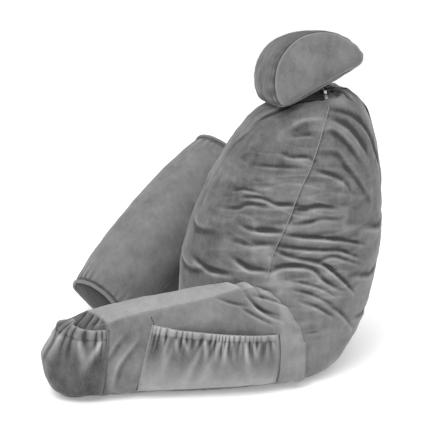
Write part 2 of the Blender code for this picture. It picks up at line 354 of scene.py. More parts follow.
@dataclass(frozen=True)
class Fold:
    """A crease with a ridge on the right of its line, as seen from outside."""

    line: SurfaceLine
    trough: float
    ridge: float
    width: float

    def press(self, points: np.ndarray) -> tuple[np.ndarray, np.ndarray, np.ndarray]:
        """How far this fold moves the points near it.

        Args:
            points: the cover's corners.

        Returns:
            The indices of the points, how far each moves outward, and its painted highlight and shade as a
            change of tone.
        """
        reach = 3.2 * self.width
        low = self.line.points.min(0) - reach
        high = self.line.points.max(0) + reach
        near = np.flatnonzero(((points > low) & (points < high)).all(1))
        if len(near) == 0:
            return near, np.zeros(0), np.zeros(0)
        gaps = points[near][:, None, :] - self.line.points[None]
        nearest = (gaps**2).sum(2).argmin(1)
        offset = gaps[np.arange(len(near)), nearest]
        tangents = self.line.tangents()[nearest]
        normals = self.line.normals[nearest]
        leftward = np.cross(normals, tangents)
        across = (offset * leftward).sum(1) / self.width
        beyond = (offset * tangents).sum(1) / self.width
        above = (offset * normals).sum(1) / self.width
        share = nearest / (len(self.line.points) - 1)
        ends = np.sin(math.pi * np.clip(0.06 + 0.88 * share, 0, 1)) ** 0.7
        strength = ends * bell(beyond, 0.0, 1.0) * bell(above, 0.0, 2.5)
        trough = self.trough * bell(across, 0.72, 0.60)
        crest = bell(across, -0.12, 0.36)
        ridge = 0.50 * crest + 0.50 * bell(across, -0.65, 0.80)
        out = strength * (self.ridge * ridge - trough)
        # painted highlight along the ridge and painted shade in the trough
        painted_ridge_light = self.ridge * (0.85 * crest + 0.45 * ridge)
        return near, out, strength * (painted_ridge_light - trough) / TONE_RELIEF


def folds_on(side: Side, rows: FoldRows, surface: BVHTree, mirrored: bool = False) -> list[Fold]:
    """Lay a table of folds on a cover.

    Args:
        side: the side that the lines are drawn from.
        rows: for each fold its trough's depth, its ridge's height and its width in millimetres, and
            its line.
        surface: the cover.
        mirrored: whether the lines are mirrored in the middle plane.

    Returns:
        The folds. A mirrored line is run backwards, so that its ridge stays on the same side.
    """
    folds = []
    for trough, ridge, width, line in rows:
        laid = SurfaceLine.laid(side, line, surface, mirrored)
        if len(laid.points) < FEWEST_SAMPLES:
            LOG.warning("a fold on the %s side misses its cover at %s", side.name.lower(), line[0])
            continue
        if mirrored or side is Side.FAR:
            laid = SurfaceLine(laid.points[::-1], laid.normals[::-1])
        folds.append(Fold(laid, trough * MM, ridge * MM, width * MM))
    return folds


def turbulence(points: np.ndarray, size: Vector, seed: float, octaves: int = 3) -> np.ndarray:
    """Smooth noise over points.

    Args:
        points: where it is wanted.
        size: the size of its lumps along X, Y and Z.
        seed: shifts the pattern.
        octaves: how many finer layers it has.

    Returns:
        One value for each point, mostly from -1 to 1.
    """
    scaled = points / np.array(size) + seed
    return np.array([noise.fractal(Vector(p), 0.6, 2.0, octaves) for p in scaled])


def set_tone(piece: bpy.types.Object, tone: np.ndarray) -> None:
    """Store a piece's tone, lighter above 0 and darker below: its base level with painted highlight and
    shade, and on the strap a random mottle.
    """
    layer = piece.data.attributes.get("tone") or piece.data.attributes.new("tone", "FLOAT", "POINT")
    layer.data.foreach_set("value", np.clip(tone, -TONE_LIMIT, TONE_LIMIT).astype(np.float32))


# ---------------------------------------------------------------------------------------------------
# Filled covers


@dataclass
class Filling:
    """How a cover is stuffed."""

    voxel: float                # size of its mesh before it is subdivided
    smoothing: int              # how often its mesh is smoothed
    shrink: float               # how much slimmer it is before it is stuffed
    cap: float                  # the farthest that the stuffing moves it
    growth: float = 0.0         # how much larger its cloth is cut
    fullness: float = 0.8
    base_tone: float = 0.0


class FilledCover:
    """A stuffed cover that stands for a solid of the frame."""

    def __init__(self, node: str, filling: Filling) -> None:
        """Copy the solid, even out its mesh and stuff it.

        Args:
            node: the solid's name in the frame.
            filling: how it is stuffed.
        """
        self.node = node
        self.filling = filling
        self.piece = merged_copy(node, f"{node}_cover")
        self.remesh()
        self.stuff()
        subdivide(self.piece, 1)
        self.reset_tone()

    def reset_tone(self) -> None:
        """Give every corner the cover's base tone."""
        self.tone = np.full(len(self.piece.data.vertices), self.filling.base_tone)

    def remesh(self) -> None:
        """Even out the mesh and take off the solid's facets."""
        even = self.piece.modifiers.new("Even", "REMESH")
        even.mode = "VOXEL"
        even.voxel_size = self.filling.voxel
        smooth = self.piece.modifiers.new("Smooth", "SMOOTH")
        smooth.factor = 0.5
        smooth.iterations = self.filling.smoothing
        apply_modifiers(self.piece)

    def held(self, points: np.ndarray) -> np.ndarray:
        """Which points stay where they are while the cover is stuffed."""
        return points[:, 2] < FLOOR_HOLD

    def slimmed(self, points: np.ndarray) -> np.ndarray:
        """For each point, the share of the shrink that it takes before the cover is stuffed."""
        return np.ones(len(points))

    def stuff(self) -> None:
        """Blow the cover up from a slightly smaller shape, and cap how far it moves."""
        rest = points_of(self.piece)
        rest -= self.filling.shrink * self.slimmed(rest)[:, None] * normals_of(self.piece)
        rest[:, 2] = np.maximum(rest[:, 2], FLOOR_CLEAR)
        move_points(self.piece, rest)
        pins = self.piece.vertex_groups.new(name="Held")
        pins.add([int(i) for i in np.flatnonzero(self.held(rest))], 1.0, "REPLACE")
        cloth = self.piece.modifiers.new("Stuffing", "CLOTH")
        settings = cloth.settings
        settings.quality = 4
        settings.mass = 0.25
        settings.tension_stiffness = 12.0
        settings.compression_stiffness = 12.0
        settings.shear_stiffness = 6.0
        settings.bending_stiffness = 0.4
        settings.shrink_min = -self.filling.growth
        settings.use_pressure = True
        settings.uniform_pressure_force = PRESSURE
        settings.vertex_group_mass = "Held"
        settings.effector_weights.gravity = 0.0
        cloth.collision_settings.use_collision = False
        scene = bpy.context.scene
        for frame_number in range(1, SIMULATED_FRAMES + 1):
            scene.frame_set(frame_number)
        apply_modifiers(self.piece)
        scene.frame_set(1)
        moved = points_of(self.piece) - rest
        length = np.linalg.norm(moved, axis=1)
        LOG.info("%s: stuffing moves it %.1f mm at most", self.node, 1000 * length.max())
        share = np.minimum(1.0, self.filling.cap / np.maximum(length, 1e-9))
        move_points(self.piece, rest + moved * share[:, None])

    def refine(self, chosen: np.ndarray) -> None:
        """Double the mesh's density again where many folds will be pressed.

        Args:
            chosen: for each corner, whether it lies there.
        """
        choose(self.piece)
        bpy.ops.object.mode_set(mode="EDIT")
        bpy.ops.mesh.select_mode(type="VERT")
        bpy.ops.mesh.select_all(action="DESELECT")
        bpy.ops.object.mode_set(mode="OBJECT")
        self.piece.data.vertices.foreach_set("select", chosen)
        bpy.ops.object.mode_set(mode="EDIT")
        bpy.ops.mesh.select_mode(type="FACE")
        bpy.ops.mesh.subdivide(number_cuts=1, smoothness=1.0)
        bpy.ops.object.mode_set(mode="OBJECT")
        self.reset_tone()

    def push(self, out: np.ndarray) -> None:
        """Move each corner outward, and keep the cover above the floor."""
        points = points_of(self.piece) + out[:, None] * normals_of(self.piece)
        points[:, 2] = np.maximum(points[:, 2], FLOOR_CLEAR)
        move_points(self.piece, points)

    def press_folds(self, folds: list[Fold]) -> None:
        """Press folds into the cover, and add their painted highlight and shade to its tone."""
        points = points_of(self.piece)
        out = np.zeros(len(points))
        for fold in folds:
            near, moved, tone = fold.press(points)
            out[near] += moved
            self.tone[near] += tone
        self.push(out)

    def lumps(self, size: Vector, height: float, seed: float) -> None:
        """Give the stuffing its unevenness."""
        self.push(height * turbulence(points_of(self.piece), size, seed))

    def surface(self) -> BVHTree:
        """The cover's surface as it is now."""
        return surface_of(self.piece)

    def dress(self, material: bpy.types.Material) -> None:
        """Finish the cover, and let it stand for its solid."""
        self.piece.data.shade_smooth()
        set_tone(self.piece, self.tone)
        finish_piece(self.piece, material)
        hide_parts(self.node)


# ---------------------------------------------------------------------------------------------------
# Sewn lines


@dataclass
class Stitching:
    """A row of sewn stitches along a line on a cover."""

    pitch: float = 0.0052
    length: float = 0.0034
    radius: float = 0.00045

    def one(self) -> bpy.types.Object:
        """One stitch, lying along X at the origin."""
        bpy.ops.object.select_all(action="DESELECT")
        bpy.ops.mesh.primitive_cylinder_add(vertices=6, radius=self.radius, depth=self.length)
        stitch = bpy.context.active_object
        bpy.ops.object.mode_set(mode="EDIT")
        bpy.ops.mesh.select_all(action="SELECT")
        bpy.ops.transform.rotate(value=0.5 * math.pi, orient_axis="Y", center_override=(0, 0, 0))
        bpy.ops.object.mode_set(mode="OBJECT")
        return stitch

    def along(self, name: str, line: SurfaceLine, lift: float) -> bpy.types.Object:
        """Copy the stitch along a line and join the copies.

        Args:
            name: the row's name.
            line: where it is sewn.
            lift: the stitches' height above the line.

        Returns:
            One object that holds every stitch.
        """
        runs = np.linalg.norm(np.diff(line.points, axis=0), axis=1)
        travelled = np.concatenate([[0.0], np.cumsum(runs)])
        tangents = line.tangents()
        places = []
        for at in np.arange(self.pitch, travelled[-1] - self.pitch, self.pitch):
            i = int(np.searchsorted(travelled, at)) - 1
            share = (at - travelled[i]) / max(runs[i], 1e-9)
            middle = line.points[i] + share * (line.points[i + 1] - line.points[i])
            up = line.normals[i]
            along = tangents[i] - np.dot(tangents[i], up) * up
            along /= np.linalg.norm(along)
            places.append((np.stack([along, np.cross(up, along), up]), middle + lift * up))
        return copies(name, self.one(), places)


def cord_along(name: str, points: np.ndarray, radius: float, closed: bool = False) -> bpy.types.Object:
    """A round tube along a line, as a mesh.

    Args:
        name: the piece's name.
        points: the middle of the tube.
        radius: half its thickness.
        closed: whether its end meets its start.

    Returns:
        The tube.
    """
    bpy.ops.object.select_all(action="DESELECT")
    bpy.ops.curve.primitive_nurbs_path_add(radius=1.0)
    tube = bpy.context.active_object
    tube.name = name
    tube.data.splines.clear()
    spline = tube.data.splines.new("POLY")
    spline.points.add(len(points) - 1)
    for target, point in zip(spline.points, points):
        target.co = (*point, 1.0)
    spline.use_cyclic_u = closed
    tube.data.bevel_depth = radius
    tube.data.bevel_resolution = 2
    tube.data.use_fill_caps = not closed
    bpy.ops.object.convert(target="MESH")
    tube = bpy.context.active_object
    tube.data.shade_smooth()
    return tube


# ---------------------------------------------------------------------------------------------------
# Finishes


def new_group(name: str, inputs: dict[str, float], outputs: tuple[str, ...]) -> bpy.types.ShaderNodeTree:
    """Start a shader node group.

    Args:
        name: the effect's name.
        inputs: its number inputs with their defaults. Every group also takes a Vector.
        outputs: its number outputs.

    Returns:
        The group with its input and output nodes.
    """
    group = bpy.data.node_groups.new(name, "ShaderNodeTree")
    group.interface.new_socket("Vector", in_out="INPUT", socket_type="NodeSocketVector")
    for label, value in inputs.items():
        socket = group.interface.new_socket(label, in_out="INPUT", socket_type="NodeSocketFloat")
        socket.default_value = value
    for label in outputs:
        group.interface.new_socket(label, in_out="OUTPUT", socket_type="NodeSocketFloat")
    group.nodes.new("NodeGroupInput")
    group.nodes.new("NodeGroupOutput")
    return group


@dataclass
class NodeBench:
    """Adds and joins the nodes of one tree."""

    tree: bpy.types.NodeTree

    def add(self, kind: str, **settings: object) -> bpy.types.Node:
        """Add a node and set its properties."""
        node = self.tree.nodes.new(kind)
        for key, value in settings.items():
            setattr(node, key, value)
        return node

    def feed(self, node: bpy.types.Node, socket: int | str, source: object) -> None:
        """Join a socket's source, or set its value."""
        target = node.inputs[socket]
        if isinstance(source, bpy.types.NodeSocket):
            self.tree.links.new(source, target)
        else:
            target.default_value = source

    def maths(self, operation: str, *values: object) -> bpy.types.NodeSocket:
        """A sum, product or other calculation of numbers."""
        node = self.add("ShaderNodeMath", operation=operation)
        for i, value in enumerate(values):
            self.feed(node, i, value)
        return node.outputs[0]

    def noise(
        self, vector: object, scale: object, detail: float, stretch: Vector | None = None
    ) -> bpy.types.NodeSocket:
        """Noise from 0 to 1 over a vector, drawn out along an axis if stretch says so."""
        if stretch is not None:
            mapping = self.add("ShaderNodeMapping")
            self.feed(mapping, "Vector", vector)
            self.feed(mapping, "Scale", stretch)
            vector = mapping.outputs[0]
        node = self.add("ShaderNodeTexNoise")
        self.feed(node, "Vector", vector)
        self.feed(node, "Scale", scale)
        self.feed(node, "Detail", detail)
        return node.outputs["Fac"]


def nap_group() -> bpy.types.ShaderNodeTree:
    """The lie of a short pile: brushed patches, streaks and the pile itself."""
    group = new_group(
        "velvet_nap", {"Patches": 19.0, "Streaks": 75.0, "Pile": 330.0}, ("Shade", "Height")
    )
    bench = NodeBench(group)
    source, result = group.nodes["Group Input"], group.nodes["Group Output"]
    vector = source.outputs["Vector"]
    patches = bench.noise(vector, source.outputs["Patches"], 4.0)
    streaks = bench.noise(vector, source.outputs["Streaks"], 3.0, Vector((1.0, 1.0, 0.5)))
    pile = bench.noise(vector, source.outputs["Pile"], 2.0)
    brushed = bench.maths("MULTIPLY_ADD", patches, 0.46, bench.maths("MULTIPLY", streaks, 0.28))
    bench.feed(result, "Shade", bench.maths("MULTIPLY_ADD", pile, 0.26, brushed))
    soft = bench.maths("MULTIPLY", streaks, 0.6)
    bench.feed(result, "Height", bench.maths("MULTIPLY_ADD", pile, 0.4, soft))
    return group


def weave_group() -> bpy.types.ShaderNodeTree:
    """The threads of a woven tape."""
    group = new_group("tape_weave", {"Threads": 900.0}, ("Shade", "Height"))
    bench = NodeBench(group)
    source, result = group.nodes["Group Input"], group.nodes["Group Output"]
    waves = []
    for direction in ("X", "Y"):
        wave = bench.add("ShaderNodeTexWave", bands_direction=direction)
        bench.feed(wave, "Vector", source.outputs["Vector"])
        bench.feed(wave, "Scale", source.outputs["Threads"])
        waves.append(wave.outputs["Fac"])
    crossed = bench.maths("MAXIMUM", *waves)
    bench.feed(result, "Shade", crossed)
    bench.feed(result, "Height", crossed)
    return group


def scuff_group() -> bpy.types.ShaderNodeTree:
    """Handling marks and fine scratches on metal."""
    group = new_group("metal_scuff", {"Marks": 160.0, "Scratches": 900.0}, ("Shade", "Height"))
    bench = NodeBench(group)
    source, result = group.nodes["Group Input"], group.nodes["Group Output"]
    vector = source.outputs["Vector"]
    marks = bench.noise(vector, source.outputs["Marks"], 4.0)
    scratches = bench.noise(vector, source.outputs["Scratches"], 2.0, Vector((0.2, 1.0, 1.0)))
    marked = bench.maths("MULTIPLY", marks, 0.6)
    bench.feed(result, "Shade", bench.maths("MULTIPLY_ADD", scratches, 0.4, marked))
    bench.feed(result, "Height", scratches)
    return group


@dataclass(frozen=True)
class Finish:
    """A finish: its dark and light colour, its effect and how it shines."""

    name: str
    dark: tuple[float, float, float]
    light: tuple[float, float, float]
    effect: str
    roughness: float
    metallic: float = 0.0
    sheen: float = 0.0
    sheen_gain: float = 0.0         # how much more the light parts of the pile shine
    sheen_roughness: float = 0.4
    specular: float = 0.5
    relief: float = 0.0004
    contrast: float = 1.0
    toned: bool = False
    tuning: tuple[tuple[str, float], ...] = field(default_factory=tuple)

    def material(self, groups: dict[str, bpy.types.ShaderNodeTree]) -> bpy.types.Material:
        """Make the material.

        Args:
            groups: the shader node groups by name.

        Returns:
            A Principled material whose colour, roughness and bump vary over the surface.
        """
        material = bpy.data.materials.new(self.name)
        material.use_nodes = True
        bench = NodeBench(material.node_tree)
        shader = material.node_tree.nodes["Principled BSDF"]
        place = bench.add("ShaderNodeTexCoord").outputs["Object"]
        effect = bench.add("ShaderNodeGroup", node_tree=groups[self.effect])
        bench.feed(effect, "Vector", place)
        for label, value in self.tuning:
            bench.feed(effect, label, value)
        centred = bench.maths("SUBTRACT", effect.outputs["Shade"], 0.5)
        share = bench.maths("MULTIPLY_ADD", centred, self.contrast, 0.5)
        if self.toned:
            # the tone attribute carries painted highlight and shade into the colour
            tone = bench.add("ShaderNodeAttribute", attribute_name="tone").outputs["Fac"]
            share = bench.maths("MULTIPLY_ADD", tone, TONE_GAIN, share)
        share = bench.maths("MINIMUM", bench.maths("MAXIMUM", share, 0.0), 1.0)
        colour = bench.add("ShaderNodeMix", data_type="RGBA", clamp_factor=True)
        bench.feed(colour, 0, share)
        bench.feed(colour, 6, (*self.dark, 1.0))
        bench.feed(colour, 7, (*self.light, 1.0))
        bench.feed(shader, "Base Color", colour.outputs[2])
        bench.feed(shader, "Roughness", bench.maths("MULTIPLY_ADD", centred, 0.12, self.roughness))
        bench.feed(shader, "Metallic", self.metallic)
        bench.feed(shader, "Specular IOR Level", self.specular)
        bench.feed(shader, "Sheen Weight", bench.maths("MULTIPLY_ADD", share, self.sheen_gain, self.sheen))
        bench.feed(shader, "Sheen Roughness", self.sheen_roughness)
        bump = bench.add("ShaderNodeBump")
        bench.feed(bump, "Strength", 0.6)
        bench.feed(bump, "Distance", self.relief)
        bench.feed(bump, "Height", effect.outputs["Height"])
        bench.feed(shader, "Normal", bump.outputs[0])
        return material


VELVET = Finish("short_pile_velvet", (0.046, 0.044, 0.046), (0.400, 0.393, 0.398), "velvet_nap", 0.86,
                sheen=0.20, sheen_gain=0.32, sheen_roughness=0.35, specular=0.20, relief=0.0009,
                contrast=0.85, toned=True)
PIPING_VELVET = Finish("piping_velvet", (0.11, 0.108, 0.11), (0.28, 0.275, 0.28), "velvet_nap", 0.84,
                       sheen=0.35, sheen_roughness=0.3, specular=0.25, contrast=0.8)
SEAM_VELVET = Finish("seam_edge_velvet", (0.03, 0.029, 0.03), (0.10, 0.098, 0.10), "velvet_nap", 0.88,
                     sheen=0.1, specular=0.2, contrast=0.8)
THREAD = Finish("sewing_thread", (0.20, 0.197, 0.20), (0.38, 0.375, 0.38), "tape_weave", 0.7,
                specular=0.3, relief=0.0001, tuning=(("Threads", 1500.0),))
ZIP_CLOTH = Finish("zip_tape_weave", (0.045, 0.044, 0.046), (0.14, 0.137, 0.14), "tape_weave", 0.8,
                   specular=0.3, relief=0.0003)
NICKEL = Finish("nickel_plate", (0.68, 0.68, 0.69), (0.90, 0.90, 0.91), "metal_scuff", 0.36, metallic=0.6,
                relief=0.00005)


# ---------------------------------------------------------------------------------------------------
# The backrest

# Folds: trough, ridge and width in millimetres, and a line in metres. On the near and far sides a line is
# depth and height, on the front and rear it is distance across and height. The trough lies on the left of
# its line and the ridge on the right, as seen from outside.
BACK_SIDE_FOLDS: FoldRows = (
    (5.0, 1.0, 13, ((0.165, 0.586), (0.135, 0.575), (0.108, 0.562), (0.086, 0.544))),
    (1.5, 1.2, 8, ((0.160, 0.525), (0.205, 0.530))),
    (4.0, 3.0, 8, ((0.140, 0.490), (0.160, 0.485), (0.190, 0.485), (0.200, 0.480))),
    (2.5, 1.5, 7, ((0.085, 0.465), (0.120, 0.465), (0.175, 0.465))),
    (3.0, 2.5, 7, ((0.045, 0.410), (0.065, 0.415), (0.105, 0.410))),
    (5.0, 4.0, 8, ((0.065, 0.400), (0.100, 0.400), (0.130, 0.390), (0.170, 0.390))),
    (3.5, 2.0, 9, ((0.020, 0.372), (0.050, 0.376), (0.075, 0.386), (0.105, 0.384), (0.145, 0.384))),
    (4.0, 3.0, 9, ((0.055, 0.345), (0.075, 0.337), (0.105, 0.335), (0.140, 0.335))),
    (2.5, 2.0, 8, ((0.040, 0.310), (0.080, 0.305), (0.120, 0.310))),
    (5.0, 4.0, 9, ((0.040, 0.275), (0.055, 0.265), (0.075, 0.255), (0.110, 0.255))),
    (5.0, 4.0, 10, ((-0.045, 0.252), (-0.025, 0.245), (-0.005, 0.240), (0.035, 0.240))),
    (3.0, 2.0, 9, ((0.205, 0.460), (0.235, 0.450), (0.265, 0.435), (0.280, 0.415))),
    (4.0, 3.0, 9, ((0.165, 0.382), (0.190, 0.380), (0.215, 0.385), (0.250, 0.380))),
    (3.0, 2.0, 8, ((0.155, 0.352), (0.190, 0.352), (0.225, 0.360), (0.260, 0.355))),
    (5.0, 4.0, 7, ((0.145, 0.330), (0.180, 0.325), (0.225, 0.320), (0.275, 0.310), (0.315, 0.295))),
    (5.0, 4.0, 7, ((0.140, 0.305), (0.180, 0.300), (0.225, 0.295), (0.265, 0.290), (0.300, 0.272))),
    (5.0, 4.5, 8, ((0.130, 0.295), (0.155, 0.285), (0.195, 0.275), (0.225, 0.265), (0.250, 0.245),
                   (0.275, 0.220), (0.295, 0.195))),
    (3.0, 3.0, 7, ((0.215, 0.270), (0.245, 0.280), (0.275, 0.270), (0.305, 0.255))),
    (4.0, 4.0, 9, ((0.115, 0.250), (0.145, 0.262), (0.180, 0.262), (0.205, 0.255), (0.228, 0.232))),
    (3.0, 2.5, 7, ((0.215, 0.240), (0.245, 0.220), (0.270, 0.205))),
    (2.0, 1.0, 5, ((0.190, 0.120), (0.225, 0.122))),
    (3.0, 3.0, 6, ((0.150, 0.236), (0.185, 0.229), (0.225, 0.215), (0.250, 0.198))),
    (3.0, 2.5, 6, ((0.165, 0.215), (0.205, 0.203), (0.245, 0.180))),
    (3.0, 2.5, 7, ((0.180, 0.190), (0.215, 0.175), (0.250, 0.150))),
    (2.5, 2.0, 9, ((0.230, 0.185), (0.270, 0.150), (0.300, 0.105))),
    (1.6, 2.2, 13, ((0.222, 0.562), (0.205, 0.562), (0.180, 0.557), (0.150, 0.540))),
    (3.6, 2.0, 14, ((0.235, 0.560), (0.260, 0.550), (0.280, 0.535), (0.300, 0.510), (0.320, 0.480))),
    (4.8, 1.0, 13, ((0.245, 0.575), (0.270, 0.570), (0.295, 0.555), (0.320, 0.530), (0.340, 0.490),
                    (0.355, 0.450))),
    (3.0, 1.5, 11, ((0.310, 0.475), (0.285, 0.510), (0.260, 0.535), (0.240, 0.545), (0.220, 0.540))),
    (2.5, 1.2, 11, ((0.330, 0.395), (0.310, 0.430), (0.275, 0.475), (0.255, 0.500), (0.220, 0.505))),
)
BACK_FRONT_FOLDS: FoldRows = (
    (1.8, 1.0, 14, ((0.118, 0.555), (0.108, 0.535), (0.094, 0.512), (0.078, 0.490))),
    (3.0, 2.0, 12, ((0.180, 0.330), (0.120, 0.322), (0.060, 0.330))),
    (3.0, 2.5, 12, ((0.200, 0.250), (0.150, 0.238), (0.090, 0.236), (0.040, 0.245))),
)
BACK_REAR_FOLDS: FoldRows = (
    (3.0, 2.0, 12, ((0.140, 0.500), (0.110, 0.440), (0.100, 0.370))),
    (3.0, 2.5, 13, ((0.190, 0.330), (0.130, 0.318), (0.070, 0.325))),
    (3.5, 2.5, 12, ((0.210, 0.230), (0.150, 0.215), (0.090, 0.220))),
    (3.0, 2.0, 11, ((0.190, 0.130), (0.130, 0.120), (0.060, 0.128))),
)
# On the top a line is distance across and depth: the opening under the neck cushion, and the flap behind.
BACK_TOP_FOLDS: FoldRows = (
    (6.0, 3.5, 9, ((0.130, 0.172), (0.140, 0.190), (0.142, 0.215), (0.136, 0.236))),
    (6.0, 8.0, 9, ((0.122, 0.292), (0.098, 0.276), (0.070, 0.262), (0.045, 0.256))),
    (5.0, 4.0, 8, ((0.130, 0.262), (0.112, 0.268), (0.090, 0.256))),
)
BACK_SEAM: Pairs = ((0.238, 0.588), (0.225, 0.550), (0.200, 0.475), (0.175, 0.420), (0.155, 0.365),
                    (0.130, 0.310), (0.118, 0.275), (0.112, 0.236))
SEAM_GROOVE: FoldRows = ((1.6, 0.9, 4, BACK_SEAM),)


class BackCover(FilledCover):
    """The back's cover, which the zip along its top holds in place while it is stuffed."""

    zip_line: tuple[float, float] = (0.236, 0.615)      # its depth and height

    def slimmed(self, points: np.ndarray) -> np.ndarray:
        """Nothing shrinks beside the zip."""
        away = np.hypot(points[:, 1] - self.zip_line[0], points[:, 2] - self.zip_line[1])
        return ease(np.maximum(away, np.abs(points[:, 0]) - 0.12), 0.025, 0.060)

    def held(self, points: np.ndarray) -> np.ndarray:
        """The zip and the underside stay where they are."""
        return (self.slimmed(points) < 0.02) | super().held(points)


@dataclass
class Backrest:
    """The tall stuffed back with its topstitched side seams."""

    filling: Filling = field(
        default_factory=lambda: Filling(0.0115, 8, 0.0068, 0.008, growth=0.03, base_tone=-0.63)
    )
    seam_radius: float = 0.0011
    lump_size: Vector = field(default_factory=lambda: Vector((0.090, 0.110, 0.060)))
    lump_height: float = 0.0022
    wrinkle_size: Vector = field(default_factory=lambda: Vector((0.060, 0.075, 0.017)))
    wrinkle_height: float = 0.0018
    crest_size: Vector = field(default_factory=lambda: Vector((0.070, 0.085, 0.024)))
    crest_height: float = 0.0016
    front_painted_shade: float = -0.10       # painted shade on the faces that look to the front
    low_painted_light: float = 0.28          # painted light on the low outer sides beside the arms
    flap_painted_light: float = 1.00         # painted light on the flap behind the zip, in the neck cushion's shadow

    def build(self, finishes: Finishes) -> FilledCover:
        """Stuff the back, fold its cover and sew its seams.

        Args:
            finishes: the materials by name.

        Returns:
            The finished cover.
        """
        cover = BackCover("backrest", self.filling)
        points = points_of(cover.piece)
        sideways = np.abs(normals_of(cover.piece)[:, 0]) > 0.45
        cover.refine(sideways & (points[:, 2] > 0.10) & (points[:, 2] < 0.58))
        cover.lumps(self.lump_size, self.lump_height, 3.1)
        self.wrinkle(cover)
        surface = cover.surface()
        folds = folds_on(Side.NEAR, BACK_SIDE_FOLDS, surface) + folds_on(Side.FAR, BACK_SIDE_FOLDS, surface)
        for mirrored in (False, True):
            folds += folds_on(Side.FRONT, BACK_FRONT_FOLDS, surface, mirrored)
            folds += folds_on(Side.REAR, BACK_REAR_FOLDS, surface, mirrored)
            folds += folds_on(Side.TOP, BACK_TOP_FOLDS, surface, mirrored)
        folds += folds_on(Side.NEAR, SEAM_GROOVE, surface) + folds_on(Side.FAR, SEAM_GROOVE, surface)
        cover.press_folds(folds)
        self.sew(cover.surface(), finishes)
        cover.dress(finishes["velvet"])
        return cover

    def wrinkle(self, cover: FilledCover) -> None:
        """Draw the cover into fine level wrinkles beside its side seams, with painted highlight on their
        crests, and paint light and shade on its panels.
        """
        points = points_of(cover.piece)
        depth, height = points[:, 1], points[:, 2]
        beside = bell(depth, 0.17, 0.15) * bell(height, 0.33, 0.19)
        waves = beside * turbulence(points, self.wrinkle_size, 7.7, 2)
        sharp = np.clip(1.0 - 4.0 * np.abs(turbulence(points, self.crest_size, 2.9, 1)), 0.0, 1.0)
        crests = beside * sharp**2
        normals = normals_of(cover.piece)
        low = below(height, 0.235, 0.015) * np.clip(np.abs(normals[:, 0]) * 1.5, 0.0, 1.0)
        cover.push(self.wrinkle_height * waves + self.crest_height * crests)
        # painted highlight on the raised wrinkles and their crests, painted shade between them
        cover.tone += 0.6 * waves + 0.6 * crests
        # painted shade on the front faces and painted light on the low outer sides
        cover.tone += self.front_painted_shade * np.clip(-1.5 * normals[:, 1], 0.0, 1.0) + self.low_painted_light * low
        # painted light on the flap behind the zip, in the neck cushion's shadow
        cover.tone += self.flap_painted_light * bell(depth, 0.257, 0.022) * ramp(height, 0.580, 0.02)

    def sew(self, surface: BVHTree, finishes: Finishes) -> None:
        """Lay the seam's folded edge and its stitches on both sides."""
        for side, end in ((Side.NEAR, "near"), (Side.FAR, "far")):
            line = SurfaceLine.laid(side, BACK_SEAM, surface)
            edge = cord_along(f"back_seam_{end}", line.points + 0.0002 * line.normals, self.seam_radius)
            finish_piece(edge, finishes["piping"])
            stitches = Stitching().along(f"back_stitches_{end}", line, self.seam_radius)
            finish_piece(stitches, finishes["thread"])


# ---------------------------------------------------------------------------------------------------
# The arms

ARM_SIDE_FOLDS: FoldRows = (
    (2.0, 2.0, 6, ((0.005, 0.210), (0.040, 0.200), (0.070, 0.195))),
    (4.0, 4.0, 7, ((0.070, 0.212), (0.090, 0.190), (0.110, 0.175), (0.140, 0.160))),
    (3.5, 3.0, 7, ((0.085, 0.213), (0.115, 0.203), (0.150, 0.185))),
    (1.8, 2.6, 10, ((-0.150, 0.135), (-0.170, 0.110), (-0.190, 0.080), (-0.200, 0.040))),
    (1.8, 1.6, 9, ((-0.175, 0.150), (-0.195, 0.125), (-0.215, 0.090))),
    (3.0, 2.0, 6, ((0.080, 0.195), (0.105, 0.182), (0.140, 0.168))),
    (3.0, 2.5, 6, ((0.060, 0.190), (0.090, 0.172), (0.120, 0.155))),
    (3.0, 2.0, 7, ((0.100, 0.222), (0.130, 0.212), (0.158, 0.198))),
)
ARM_TOP_FOLDS: FoldRows = (
    (3.0, 3.0, 9, ((0.215, 0.020), (0.250, 0.035), (0.280, 0.060))),
    (3.0, 2.5, 9, ((0.225, 0.060), (0.255, 0.070), (0.285, 0.095))),
)
ARM_DOME_FOLDS: FoldRows = (
    (3.0, 3.0, 6, ((0.318, -0.252), (0.300, -0.243), (0.280, -0.238))),
    (3.0, 3.0, 6, ((0.322, -0.236), (0.311, -0.228), (0.298, -0.224))),
    (3.0, 2.5, 7, ((0.305, -0.275), (0.285, -0.262), (0.262, -0.258))),
    (2.5, 2.5, 7, ((0.270, -0.300), (0.262, -0.280), (0.245, -0.268))),
)
# The strip's seams are distance across and depth, and the others depth and height.
STRIP_OUTER_SEAM: Pairs = ((0.322, -0.235), (0.317, -0.205), (0.305, -0.170), (0.294, -0.138),
                           (0.287, -0.105), (0.284, -0.070), (0.283, -0.030), (0.283, 0.005),
                           (0.280, 0.035), (0.276, 0.085))
STRIP_INNER_SEAM: Pairs = ((0.205, -0.245), (0.200, -0.150), (0.195, -0.070), (0.192, 0.000))
STRIP_FRONT_SEAM: Pairs = ((0.205, -0.246), (0.230, -0.262), (0.255, -0.260), (0.280, -0.243),
                           (0.303, -0.226), (0.319, -0.212))
PANEL_SEAM: Pairs = ((-0.124, 0.175), (-0.121, 0.169), (-0.118, 0.163), (-0.120, 0.130), (-0.130, 0.095),
                     (-0.144, 0.055), (-0.156, 0.020))
POCKET_REAR_SEAM: Pairs = ((0.136, 0.135), (0.138, 0.118), (0.139, 0.090), (0.138, 0.055), (0.134, 0.022))
TIP_SEAM: Pairs = ((-0.2065, 0.156), (-0.2095, 0.120), (-0.2150, 0.070), (-0.2205, 0.020))


